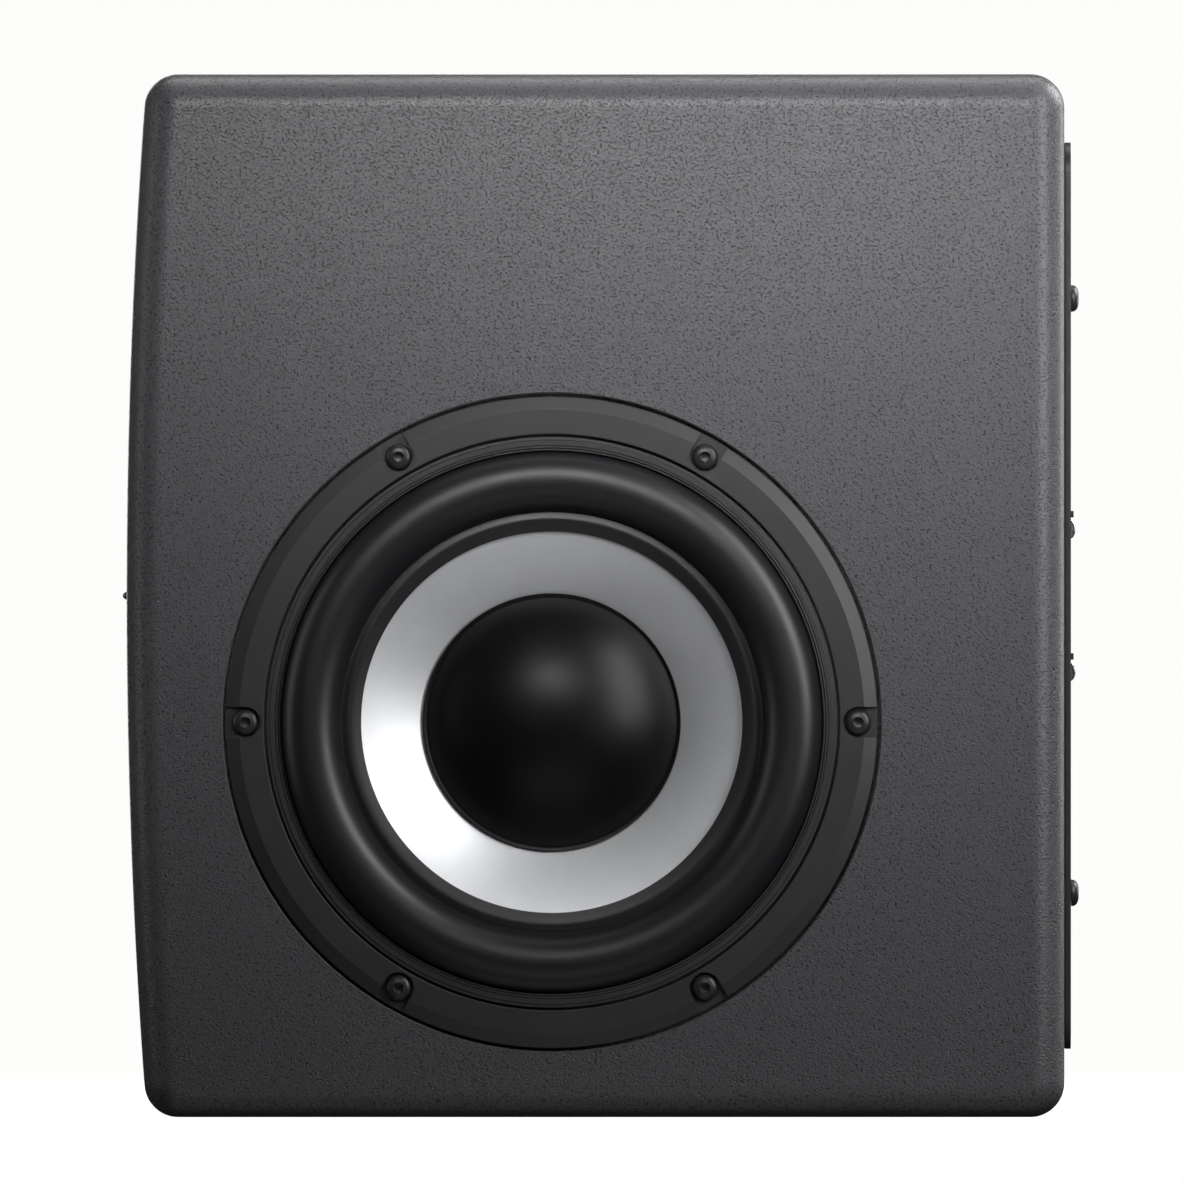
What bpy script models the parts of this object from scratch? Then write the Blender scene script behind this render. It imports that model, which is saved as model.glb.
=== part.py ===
"""A compact powered subwoofer with one side-firing driver.

The cabinet is a box of boards with a bowed front. The driver fires along +X, the bowed front faces -Y
and the amplifier plate closes the back on +Y. Units are metres, +Z is up, and the origin is the centre
of the model's footprint, at the level of the cabinet's flat bottom.
"""

from math import acos, atan2, cos, pi, radians, sin, sqrt, tan

import bmesh
import bpy
from mathutils import Matrix, Vector
from mathutils.geometry import interpolate_bezier

# --- Driving dimensions -------------------------------------------------------------------------------
MM = 0.001
GAP = 0.3 * MM  # between any two pieces that touch

# Cabinet
HEIGHT = 300.0 * MM
WIDTH = 240.0 * MM
FRONT_Y = -135.975 * MM  # the bow's foremost line
REAR_Y = 133.775 * MM
BOW_RADIUS = 1938.0 * MM
BOARD = 15.0 * MM
BAFFLE_BACK_Y = -116.475 * MM
CORNER_RADIUS = 9.8 * MM
EDGE_FILLET = 9.3 * MM
BRACE_Z = 222.0 * MM
BRACE_THICKNESS = 12.0 * MM
BRACE_REAR_Y = 58.0 * MM
BRACE_WINDOW = (140.0 * MM, 110.0 * MM)

# Driver, as radii from its axis and heights above the side board's outer face
ROLL_PROUD = 5.9 * MM
DRIVER_Y = -13.675 * MM
DRIVER_Z = 113.6 * MM
REBATE_R = 94.6 * MM
REBATE_DEPTH = 4.0 * MM
HOLE_R = 80.0 * MM
FLANGE_R = 93.7 * MM
BEVEL_R = 89.9 * MM
FLANGE_FACE = 1.6 * MM
FLANGE_RIM = 0.2 * MM
FLANGE_BACK = -2.7 * MM
TRIM_SEAT_R = 82.8 * MM
TRIM_R = 82.1 * MM
TRIM_INNER_R = 78.0 * MM
TRIM_FACE = 1.4 * MM
SEAT_H = -1.4 * MM
ROLL_OUTER_R = 77.6 * MM
ROLL_INNER_R = 61.0 * MM
LAND_OUTER_R = 58.7 * MM
LAND_INNER_R = 54.9 * MM
CONE_R = 58.6 * MM
CONE_NECK_R = 20.0 * MM
CAP_R = 37.1 * MM
CAP_RIM_R = 35.9 * MM
CAP_RISE = 13.5 * MM
SHEET = 0.6 * MM  # wall of the surround, the dust cap and the spider
CONE_WALL = 0.8 * MM
SPIDER_H = -26.4 * MM
COIL_R = 19.3 * MM
GASKET_R = (83.0 * MM, 93.0 * MM)
FORMER_H = (-60.0 * MM, -22.5 * MM)
WINDING_H = (-57.8 * MM, -45.8 * MM)
WINDING = 0.9 * MM
SCREW_CIRCLE_R = 88.1 * MM
POCKET_WIDTH = 8.9 * MM
POCKET_FLOOR = -0.6 * MM
DRIVER_SCREWS = 6

# Basket and motor
BASKET_WALL = 2.4 * MM
BASKET_TOP_R = 79.0 * MM
SHOULDER_H = -6.5 * MM
LEDGE_R = (54.4 * MM, 62.2 * MM)
LEDGE_H = -29.4 * MM
BASKET_FLOOR_R = 48.2 * MM
BASKET_FLOOR_H = -48.5 * MM
BASKET_HOLE_R = 30.0 * MM
WINDOW_WIDTH = 28.5 * MM
UPPER_WINDOW_H = (-25.0 * MM, -9.0 * MM)
LOWER_WINDOW_H = (-44.0 * MM, -33.0 * MM)
TOP_PLATE = 6.0 * MM
TOP_PLATE_R = (20.9 * MM, 40.0 * MM)
MAGNET = 18.0 * MM
MAGNET_R = (26.0 * MM, 50.0 * MM)
BACK_PLATE = 6.0 * MM
BACK_PLATE_R = 47.0 * MM
POLE_R = 18.4 * MM
VENT_R = 4.0 * MM
STRIP_LOW = (60.0 * MM, -9.0 * MM, -23.5 * MM)
STRIP_HIGH = (72.0 * MM, 9.0 * MM, -21.5 * MM)

# Screws, M4 button head
HEAD_R = 3.8 * MM
HEAD_HEIGHT = 2.2 * MM
SHANK_R = 1.9 * MM
SHANK = 15.0 * MM
SCREW_HOLE_R = 2.3 * MM
HEX_R = 1.45 * MM
HEX_DEPTH = 1.4 * MM

# Amplifier plate and what it carries
PLATE_PROUD = 2.0 * MM
PLATE_WIDTH = 202.0 * MM
PLATE_LOW_Z = 19.5 * MM
PLATE_HIGH_Z = 280.5 * MM
PLATE_CORNER = 8.6 * MM
CUTOUT_MARGIN = 12.0 * MM
PLATE_SCREW_INSET = 7.0 * MM
PLATE_SCREW_SPREAD = 85.6 * MM
SOCKET_X = 45.0 * MM
SOCKET_Z = (155.5 * MM, 114.4 * MM)
SOCKET_R = 11.6 * MM
SOCKET_DEPTH = 24.0 * MM
SOCKET_SLOT = (7.7 * MM, 9.5 * MM)
SLOT_DEPTH = 14.0 * MM
LATCH_RISE = 13.7 * MM  # from a socket's axis to its release lever's middle
LATCH_SIZE = (8.0 * MM, 5.7 * MM)
LATCH_PROUD = 1.8 * MM
TAB_PROUD = 1.25 * MM
LATCH_DEPTH = 4.5 * MM
CONTACT_R = 1.3 * MM
CONTACT_CIRCLE_R = 4.4 * MM
CONTACT_DEPTH = 9.0 * MM
INLET = (-45.0 * MM, 62.0 * MM)
INLET_SIZE = (27.4 * MM, 19.8 * MM)
INLET_CAVITY = (24.2 * MM, 16.4 * MM)
INLET_DEPTH = 22.0 * MM
INLET_CAVITY_DEPTH = 17.0 * MM
PIN_SIZE = (2.0 * MM, 4.0 * MM)
PIN_PLACES = ((-7.0 * MM, 0.5 * MM), (7.0 * MM, 0.5 * MM), (0.0, 3.6 * MM))
PIN_DEPTHS = (26.0 * MM, 3.0 * MM)  # back end and tip, behind the plate's face
SWITCH = (5.0 * MM, 62.0 * MM)
SWITCH_DEPTH = 16.0 * MM
ROCKER_SIZE = (12.0 * MM, 17.6 * MM)
ROCKER_PIVOT = 1.9 * MM  # behind the plate's face
ROCKER_TILT = radians(6)
KNOB_Z = 232.0 * MM
KNOB_X = (45.0 * MM, 5.0 * MM)
KNOB_R = 7.6 * MM
KNOB_DEPTH = 13.0 * MM
BUTTON_X = -35.0 * MM
BUTTON_R = 3.6 * MM
BUTTON_DEPTH = 14.0 * MM

# Inside the back, and the status light
BOARD_Y = 97.525 * MM
CIRCUIT_BOARD = 1.6 * MM
BOARD_HALF_WIDTH = 76.0 * MM
BOARD_Z = (44.0 * MM, 256.0 * MM)
CAN_R = 10.5 * MM
CAN_HEIGHT = 26.0 * MM
CAN_Z = (190.0 * MM, 215.0 * MM)
LEAD_Z = 132.0 * MM
LENS_R = 1.35 * MM
LENS_PROUD = 2.15 * MM
LENS_DEPTH = 18.0 * MM

# --- Worked out ---------------------------------------------------------------------------------------
MIDDLE_X = -ROLL_PROUD / 2  # the cabinet's own middle
RIGHT_X = MIDDLE_X + WIDTH / 2
LEFT_X = MIDDLE_X - WIDTH / 2
MIDDLE_Z = HEIGHT / 2
PLATE_FACE_Y = REAR_Y + PLATE_PROUD
PLATE_BACK_Y = REAR_Y + GAP
TOP_PLATE_H = BASKET_FLOOR_H - GAP
MAGNET_H = TOP_PLATE_H - TOP_PLATE - GAP
BACK_PLATE_H = MAGNET_H - MAGNET - GAP
TO_WORLD = Matrix(((0, 0, 1, 0), (1, 0, 0, 0), (0, 1, 0, 0), (0, 0, 0, 1)))  # flat (y, z) outlines
FACING_BACK = Matrix.Rotation(radians(-90), 4, "X")  # local +Z looks along +Y


# --- Scene, materials and small tools -----------------------------------------------------------------
def clear_scene():
    for obj in list(bpy.data.objects):
        bpy.data.objects.remove(obj, do_unlink=True)


def new_collection(name):
    made = bpy.data.collections.new(name)
    bpy.context.scene.collection.children.link(made)
    return made


def material(name, color, roughness, metallic=0.0):
    made = bpy.data.materials.new(name)
    made.use_nodes = True
    shader = made.node_tree.nodes["Principled BSDF"]
    shader.inputs["Base Color"].default_value = (*color, 1.0)
    shader.inputs["Roughness"].default_value = roughness
    shader.inputs["Metallic"].default_value = metallic
    return made


def place(name, mesh, finish, matrix=None, parent=None, collection=None):
    obj = bpy.data.objects.new(name, mesh)
    (collection or PARTS).objects.link(obj)
    mesh.materials.append(finish)
    if parent is not None:
        obj.parent = parent
    obj.matrix_local = matrix or Matrix.Identity(4)
    return obj


def smooth(mesh, angle=35):
    mesh.shade_smooth()
    mesh.set_sharp_from_angle(angle=radians(angle))


def turned_mesh(profile, steps):
    """A closed profile of (radius, height) points, turned round local Z."""
    points = list(profile)
    signed = sum(a[0] * b[1] - b[0] * a[1] for a, b in zip(points, points[1:] + points[:1]))
    if signed > 0:
        points.reverse()
    on_axis = [i for i, point in enumerate(points) if point[0] == 0]
    if on_axis:
        start = next(i for i in on_axis if points[(i + 1) % len(points)][0] > 0)
        points = points[start:] + points[:start]
    bm = bmesh.new()
    verts = [bm.verts.new((r, 0, h)) for r, h in points]
    for a, b in zip(verts, verts[1:]):
        bm.edges.new((a, b))
    if not on_axis:
        bm.edges.new((verts[-1], verts[0]))
    guide_mesh = bpy.data.meshes.new("guide")
    bm.to_mesh(guide_mesh)
    bm.free()
    guide = bpy.data.objects.new("guide", guide_mesh)
    CUTTERS.objects.link(guide)
    screw = guide.modifiers.new("Turn", "SCREW")
    screw.steps = steps
    screw.render_steps = steps
    screw.use_merge_vertices = True
    screw.merge_threshold = 0.00001
    screw.use_smooth_shade = True
    return baked(guide)


def baked(guide):
    """The object's evaluated shape as a mesh of its own; the object goes."""
    bpy.context.view_layer.update()
    evaluated = guide.evaluated_get(bpy.context.evaluated_depsgraph_get())
    mesh = bpy.data.meshes.new_from_object(evaluated)
    bpy.data.objects.remove(guide, do_unlink=True)
    mesh.materials.clear()
    bm = bmesh.new()
    bm.from_mesh(mesh)
    bmesh.ops.remove_doubles(bm, verts=bm.verts, dist=0.000002)
    bmesh.ops.recalc_face_normals(bm, faces=bm.faces)
    bm.to_mesh(mesh)
    bm.free()
    return mesh


def prism_mesh(outline, low, high):
    """A flat outline of (x, y) points between two heights of local Z."""
    curve = bpy.data.curves.new("outline", "CURVE")
    curve.dimensions = "2D"
    curve.fill_mode = "BOTH"
    curve.extrude = (high - low) / 2
    spline = curve.splines.new("POLY")
    spline.points.add(len(outline) - 1)
    for point, (x, y) in zip(spline.points, outline):
        point.co = (x, y, 0, 1)
    spline.use_cyclic_u = True
    guide = bpy.data.objects.new("outline", curve)
    CUTTERS.objects.link(guide)
    mesh = baked(guide)
    mesh.transform(Matrix.Translation((0, 0, (low + high) / 2)))
    bm = bmesh.new()
    bm.from_mesh(mesh)
    bmesh.ops.dissolve_limit(bm, angle_limit=radians(0.1), verts=bm.verts, edges=bm.edges)
    bm.to_mesh(mesh)
    bm.free()
    return mesh


def box_mesh(low, high, bevel=0.0):
    low, high = Vector(low), Vector(high)
    bm = bmesh.new()
    bmesh.ops.create_cube(bm, size=1)
    bmesh.ops.scale(bm, vec=high - low, verts=bm.verts)
    bmesh.ops.translate(bm, vec=(low + high) / 2, verts=bm.verts)
    if bevel:
        bmesh.ops.bevel(bm, geom=bm.edges, offset=bevel, segments=2, profile=0.5, affect="EDGES")
    mesh = bpy.data.meshes.new("box")
    bm.to_mesh(mesh)
    bm.free()
    return mesh


def cylinder_mesh(radius, low, high, steps=24):
    return turned_mesh([(0, high), (radius, high), (radius, low), (0, low)], steps)


def copies(mesh, matrices):
    """One mesh holding a copy at each matrix, for cutters."""
    bm = bmesh.new()
    for matrix in matrices:
        moved = mesh.copy()
        moved.transform(matrix)
        bm.from_mesh(moved)
        bpy.data.meshes.remove(moved)
    made = bpy.data.meshes.new(mesh.name)
    bm.to_mesh(made)
    bm.free()
    return made


def boolean(obj, meshes, matrix=None, operation="DIFFERENCE"):
    """Cuts each mesh from the object, or joins it, as modifiers with helpers in the cutters' collection."""
    for mesh in meshes:
        helper = bpy.data.objects.new(obj.name + "_cutter", mesh)
        CUTTERS.objects.link(helper)
        helper.matrix_world = matrix or Matrix.Identity(4)
        helper.hide_render = True
        helper.display_type = "WIRE"
        change = obj.modifiers.new("Join" if operation == "UNION" else "Cut", "BOOLEAN")
        change.operation = operation
        change.solver = "EXACT"
        change.object = helper
    return obj


def filleted(corners, steps=5):
    """A polygon whose corners (x, y, radius) are rounded where they have a radius."""
    points = []
    for i, (x, y, radius) in enumerate(corners):
        here = Vector((x, y))
        if not radius:
            points.append((x, y))
            continue
        before = (Vector(corners[i - 1][:2]) - here).normalized()
        after = (Vector(corners[(i + 1) % len(corners)][:2]) - here).normalized()
        half = acos(max(-1.0, min(1.0, before.dot(after)))) / 2
        centre = here + (before + after).normalized() * radius / sin(half)
        first = here + before * radius / tan(half) - centre
        last = here + after * radius / tan(half) - centre
        start = atan2(first.y, first.x)
        turn = (atan2(last.y, last.x) - start + pi) % (2 * pi) - pi
        for k in range(steps + 1):
            angle = start + turn * k / steps
            points.append((centre.x + radius * cos(angle), centre.y + radius * sin(angle)))
    return points


def rectangle(x, y, width, height, radius=0.0):
    a, b = width / 2, height / 2
    corners = [(x - a, y - b, radius), (x + a, y - b, radius), (x + a, y + b, radius), (x - a, y + b, radius)]
    return filleted(corners)


def shell_profile(line, thickness):
    """The closed outline of a thin wall along a centre line of (radius, height) points."""
    points = [Vector(p) for p in line]
    sides = ([], [])
    for i, point in enumerate(points):
        along = (points[min(i + 1, len(points) - 1)] - points[max(i - 1, 0)]).normalized()
        normal = Vector((-along.y, along.x))
        for side, sign in zip(sides, (1, -1)):
            moved = point + normal * sign * thickness / 2
            side.append((max(moved.x, 0.0) if point.x else 0.0, moved.y))
    return sides[0] + sides[1][::-1]


# --- Cabinet ------------------------------------------------------------------------------------------
def bow_y(z):
    return FRONT_Y + (z - MIDDLE_Z) ** 2 / (2 * BOW_RADIUS)


def bowed_edge(steps=8):
    """The front's curve from top to bottom as (y, z, corner radius), its two ends rounded."""
    levels = [HEIGHT * (1 - i / steps) for i in range(steps + 1)]
    return [(bow_y(z), z, CORNER_RADIUS if z in (levels[0], levels[-1]) else 0) for z in levels]


def board(name, outline, low_x, high_x):
    mesh = prism_mesh(outline, low_x, high_x)
    mesh.transform(TO_WORLD)
    return place(name, mesh, PAINT)


def round_outer_edge(obj, outer_x):
    """Fillets the edges round the board's outer face."""
    bm = bmesh.new()
    bm.from_mesh(obj.data)
    weight = bm.edges.layers.float.new("bevel_weight_edge")
    for edge in bm.edges:
        outer = all(abs(vert.co.x - outer_x) < 0.00001 for vert in edge.verts)
        if outer and edge.calc_face_angle() > 0.5:
            edge[weight] = 1.0
    bm.to_mesh(obj.data)
    bm.free()
    bevel = obj.modifiers.new("Fillet", "BEVEL")
    bevel.limit_method = "WEIGHT"
    bevel.width = EDGE_FILLET
    bevel.segments = 5
    bevel.use_clamp_overlap = False


def make_cabinet():
    inner_right = RIGHT_X - BOARD - GAP
    inner_left = LEFT_X + BOARD + GAP
    side = filleted([(REAR_Y, 0, CORNER_RADIUS), (REAR_Y, HEIGHT, CORNER_RADIUS)] + bowed_edge())
    right = board("right_side_panel", side, RIGHT_X - BOARD, RIGHT_X)
    round_outer_edge(right, RIGHT_X)
    left = board("left_side_panel", side, LEFT_X, LEFT_X + BOARD)
    round_outer_edge(left, LEFT_X)
    driver_hole = turned_mesh(
        [(0, 10 * MM), (REBATE_R, 10 * MM), (REBATE_R, -REBATE_DEPTH), (HOLE_R, -REBATE_DEPTH),
         (HOLE_R, -BOARD - 10 * MM), (0, -BOARD - 10 * MM)],
        64,
    )
    boolean(right, [driver_hole, driver_screw_holes(-BOARD - 5 * MM)], DRIVER)

    baffle = [(BAFFLE_BACK_Y, 0, 0), (BAFFLE_BACK_Y, HEIGHT, 0)] + bowed_edge()
    front = board("front_baffle", filleted(baffle), inner_left, inner_right)
    lens_hole = cylinder_mesh(LENS_R + GAP, -10 * MM, 30 * MM, 12)
    boolean(front, [lens_hole], Matrix.Translation((MIDDLE_X, FRONT_Y, MIDDLE_Z)) @ FACING_BACK)

    back_front_y = REAR_Y - BOARD
    rear = [(back_front_y, HEIGHT, 0), (back_front_y, 0, 0),
            (REAR_Y, 0, CORNER_RADIUS), (REAR_Y, HEIGHT, CORNER_RADIUS)]
    back = board("back_panel", filleted(rear), inner_left, inner_right)
    cutout = rectangle(0, MIDDLE_Z, PLATE_WIDTH - 2 * CUTOUT_MARGIN,
                       PLATE_HIGH_Z - PLATE_LOW_Z - 2 * CUTOUT_MARGIN, 6 * MM)
    opening = plate_prism(cutout, back_front_y - 5 * MM, REAR_Y + 5 * MM)
    boolean(back, [opening, plate_screw_holes()])

    for name, low in (("bottom_panel", 0.0), ("top_panel", HEIGHT - BOARD)):
        low_y, high_y = BAFFLE_BACK_Y + GAP, back_front_y - GAP
        outline = [(low_y, low), (high_y, low), (high_y, low + BOARD), (low_y, low + BOARD)]
        board(name, outline, inner_left, inner_right)
    make_brace(inner_left + GAP, inner_right - GAP)


def make_brace(low_x, high_x):
    """A shelf across the cabinet above the driver, with one wide window for the air."""
    low_y, high_y = BAFFLE_BACK_Y + GAP, BRACE_REAR_Y
    low = (low_x, low_y, BRACE_Z)
    brace = place("shelf_brace", box_mesh(low, (high_x, high_y, BRACE_Z + BRACE_THICKNESS)), BARE_BOARD)
    window = rectangle(MIDDLE_X, (low_y + high_y) / 2, *BRACE_WINDOW)
    boolean(brace, [prism_mesh(window, BRACE_Z - 5 * MM, BRACE_Z + BRACE_THICKNESS + 5 * MM)])


# --- Driver -------------------------------------------------------------------------------------------
def driver_axis():
    """An empty on the driver's axis, at the side board's outer face, its local +Z looking out."""
    empty = bpy.data.objects.new("driver_axis", None)
    PARTS.objects.link(empty)
    empty.matrix_world = DRIVER
    return empty


def round_the_driver(radius=0.0):
    return [Matrix.Rotation(2 * pi * i / DRIVER_SCREWS, 4, "Z") @ Matrix.Translation((radius, 0, 0))
            for i in range(DRIVER_SCREWS)]


def driver_screw_holes(depth):
    return copies(cylinder_mesh(SCREW_HOLE_R, depth, 5 * MM, 12), round_the_driver(SCREW_CIRCLE_R))


def pocket_cutters():
    """U-shaped pockets for the screw heads, open outwards through the flange's bevel."""
    half = POCKET_WIDTH / 2
    reach = 12 * MM
    arc = [(half * cos(a), half * sin(a)) for a in (radians(90 + 180 * i / 8) for i in range(9))]
    outline = arc + [(reach, -half), (reach, half)]
    return copies(prism_mesh(outline, POCKET_FLOOR, 6 * MM), round_the_driver(SCREW_CIRCLE_R))


def turned(name, profile, finish, steps=44):
    obj = place(name, turned_mesh(profile, steps), finish, parent=AXIS)
    smooth(obj.data)
    return obj


def ring(name, inner, outer, low, high, finish, steps=40):
    return turned(name, [(inner, high), (outer, high), (outer, low), (inner, low)], finish, steps)


def make_frame():
    """A cast basket: flange, conical wall with windows, a ledge for the spider and a floor for the motor."""
    profile = [
        (BEVEL_R, FLANGE_FACE), (FLANGE_R, FLANGE_RIM), (FLANGE_R, FLANGE_BACK), (BASKET_TOP_R, FLANGE_BACK),
        (BASKET_TOP_R, SHOULDER_H), (LEDGE_R[1], LEDGE_H), (LEDGE_R[0], LEDGE_H),
        (BASKET_FLOOR_R, BASKET_FLOOR_H), (BASKET_HOLE_R, BASKET_FLOOR_H),
        (BASKET_HOLE_R, BASKET_FLOOR_H + BASKET_WALL),
        (BASKET_FLOOR_R - BASKET_WALL, BASKET_FLOOR_H + BASKET_WALL),
        (LEDGE_R[0] - BASKET_WALL, LEDGE_H + BASKET_WALL), (LEDGE_R[1] - BASKET_WALL, LEDGE_H + BASKET_WALL),
        (BASKET_TOP_R - BASKET_WALL, SHOULDER_H + 0.5 * MM), (TRIM_INNER_R - 0.1 * MM, SEAT_H),
        (TRIM_SEAT_R, SEAT_H), (TRIM_SEAT_R, FLANGE_FACE),
    ]
    frame = turned("woofer_frame", profile, CASTING)
    windows = []
    for low_h, high_h in (UPPER_WINDOW_H, LOWER_WINDOW_H):
        low, high = (40 * MM, -WINDOW_WIDTH / 2, low_h), (90 * MM, WINDOW_WIDTH / 2, high_h)
        windows.append(copies(box_mesh(low, high), round_the_driver()))
    boolean(frame, [pocket_cutters(), driver_screw_holes(-6 * MM)] + windows, DRIVER)


def roll_line(steps=8):
    """The surround's centre line: rim, half roll, valley and the land glued over the cone's edge."""
    rim_h = SEAT_H + GAP + SHEET / 2
    valley_h = -2.2 * MM
    middle = (ROLL_OUTER_R + ROLL_INNER_R) / 2
    half = (ROLL_OUTER_R - ROLL_INNER_R) / 2
    crest = ROLL_PROUD - SHEET / 2
    line = [(TRIM_R - 0.1 * MM, rim_h)]
    for i in range(steps + 1):
        angle = pi * i / steps
        foot = rim_h + (valley_h - rim_h) * i / steps
        rise = crest - (rim_h + valley_h) / 2
        line.append((middle + half * cos(angle), foot + rise * sin(angle)))
    line.append((LAND_OUTER_R, -1.2 * MM))
    line.append((LAND_INNER_R, -2.9 * MM))
    return line


def cone_h(radius):
    """Height of the cone's mid surface at a radius: steeper towards the neck."""
    inward = CONE_R - radius
    return -2.55 * MM - 0.3685 * inward - 4.8 * inward**2


def cap_line(steps=5):
    """The dust cap's centre line, from the middle of its dome to its flat rim on the cone."""
    rim_h = cone_h(CAP_R) + (CONE_WALL / 2 + GAP) * 1.15 + SHEET / 2
    sphere = (CAP_RIM_R**2 + CAP_RISE**2) / (2 * CAP_RISE)
    apex = rim_h + CAP_RISE
    dome = []
    for i in range(steps + 1):
        radius = CAP_RIM_R * i / steps
        dome.append((radius, apex - sphere + sqrt(sphere**2 - radius**2)))
    return dome + [(CAP_R, rim_h + 0.2 * MM)]


def spider_line(folds=6):
    """The spider: a flat disc pressed into rings, glued to the coil former and the basket's ledge."""
    first, last = 23 * MM, 50 * MM
    line = [(COIL_R + GAP, SPIDER_H)]
    for i in range(folds + 1):
        line.append((first + (last - first) * i / folds, SPIDER_H + 1.0 * MM * (-1) ** i))
    return line + [(59.5 * MM, SPIDER_H)]


def make_driver():
    make_frame()
    gasket = ring("woofer_gasket", *GASKET_R, -REBATE_DEPTH + GAP, FLANGE_BACK - GAP, FOAM, 32)
    boolean(gasket, [driver_screw_holes(-8 * MM)], DRIVER)
    chamfer = 0.5 * MM
    trim_low = SEAT_H + SHEET + 2 * GAP
    turned("woofer_trim_ring", [
        (TRIM_INNER_R + chamfer, TRIM_FACE), (TRIM_R - chamfer, TRIM_FACE), (TRIM_R, TRIM_FACE - chamfer),
        (TRIM_R, trim_low), (TRIM_INNER_R, trim_low), (TRIM_INNER_R, TRIM_FACE - chamfer)], CASTING)
    turned("woofer_surround", shell_profile(roll_line(), SHEET), RUBBER)
    radii = [CONE_R - (CONE_R - CONE_NECK_R) * i / 4 for i in range(5)]
    turned("woofer_cone", shell_profile([(r, cone_h(r)) for r in radii], CONE_WALL), SILVER)
    turned("dust_cap", shell_profile(cap_line(), SHEET), CAP_BLACK)
    ring("coil_former", COIL_R - 0.4 * MM, COIL_R, *FORMER_H, FORMER, 32)
    ring("voice_coil", COIL_R + GAP, COIL_R + GAP + WINDING, *WINDING_H, COPPER, 32)
    turned("spider", shell_profile(spider_line(), SHEET), SPIDER, 28)
    ring("top_plate", *TOP_PLATE_R, TOP_PLATE_H - TOP_PLATE, TOP_PLATE_H, STEEL)
    ring("magnet", *MAGNET_R, MAGNET_H - MAGNET, MAGNET_H, FERRITE)
    turned("pole_yoke", [
        (VENT_R, TOP_PLATE_H), (POLE_R, TOP_PLATE_H), (POLE_R, BACK_PLATE_H), (BACK_PLATE_R, BACK_PLATE_H),
        (BACK_PLATE_R, BACK_PLATE_H - BACK_PLATE), (VENT_R, BACK_PLATE_H - BACK_PLATE)], STEEL, 40)
    make_terminals()
    for i, matrix in enumerate(round_the_driver(SCREW_CIRCLE_R)):
        lift = Matrix.Translation((0, 0, POCKET_FLOOR + GAP))
        place(f"woofer_screw_{i + 1}", SCREW_MESH.copy(), SCREW_BLACK, matrix @ lift, AXIS)


def make_terminals():
    """A tag strip in the basket's rearward window, with two flexible leads to the cone's back."""
    place("terminal_strip", box_mesh(STRIP_LOW, STRIP_HIGH, 0.4 * MM), BOARD_GREEN, parent=AXIS)
    for i, side in enumerate((-1, 1)):
        route = [
            (59.6 * MM, side * 5 * MM, -22.4 * MM), (50 * MM, side * 5 * MM, -23.6 * MM),
            (42 * MM, side * 5.5 * MM, -18 * MM), (34 * MM, side * 6 * MM, -18.2 * MM),
        ]
        lead = wire(f"tinsel_lead_{i + 1}", route, 0.6 * MM, COPPER, 9)
        lead.parent = AXIS


def wire(name, route, radius, finish, points):
    """A round wire along a smooth curve with two handles in the middle of its route."""
    curve = bpy.data.curves.new(name, "CURVE")
    curve.dimensions = "3D"
    curve.bevel_depth = radius
    curve.bevel_resolution = 2
    curve.use_fill_caps = True
    spline = curve.splines.new("POLY")
    start, first, second, end = (Vector(p) for p in route)
    places = interpolate_bezier(start, first, second, end, points)
    spline.points.add(points - 1)
    for point, co in zip(spline.points, places):
        point.co = (*co, 1)
    curve.materials.append(finish)
    obj = bpy.data.objects.new(name, curve)
    PARTS.objects.link(obj)
    return obj


# --- Fasteners ----------------------------------------------------------------------------------------
def screw_mesh():
    """An M4 button head screw: its head's underside at height 0, its hex socket cut into the dome."""
    crown = HEAD_R * 0.5
    profile = [(0, HEAD_HEIGHT), (crown, HEAD_HEIGHT)]
    for share in (0.45, 0.8):
        profile.append((crown + (HEAD_R - crown) * share, HEAD_HEIGHT * sqrt(1 - share**2)))
    profile += [(HEAD_R, 0.3 * MM), (HEAD_R, 0), (SHANK_R, 0), (SHANK_R, -SHANK), (0, -SHANK)]
    body = place("screw_blank", turned_mesh(profile, 14), SCREW_BLACK, collection=CUTTERS)
    socket = cylinder_mesh(HEX_R, HEAD_HEIGHT - HEX_DEPTH, HEAD_HEIGHT + 2 * MM, 6)
    boolean(body, [socket])
    mesh = baked(body)
    smooth(mesh)
    return mesh


# --- Amplifier plate ----------------------------------------------------------------------------------
def plate_prism(outline, low_y, high_y):
    """A flat outline of (x, z) points about the cabinet's middle, between two depths along Y."""
    flipped = [(x, -z) for x, z in outline]
    mesh = prism_mesh(flipped, low_y, high_y)
    mesh.transform(Matrix.Translation((MIDDLE_X, 0, 0)) @ FACING_BACK)
    return mesh


def plate_screw_places():
    reach = PLATE_WIDTH / 2 - PLATE_SCREW_INSET
    return [(side * reach, MIDDLE_Z + rise * PLATE_SCREW_SPREAD) for side in (1, -1) for rise in (1, -1)]


def on_plate(x, z, y=PLATE_FACE_Y):
    return Matrix.Translation((MIDDLE_X + x, y, z)) @ FACING_BACK


def plate_screw_holes():
    hole = cylinder_mesh(SCREW_HOLE_R, -SHANK - 1 * MM, 5 * MM, 12)
    return copies(hole, [on_plate(x, z) for x, z in plate_screw_places()])


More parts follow.
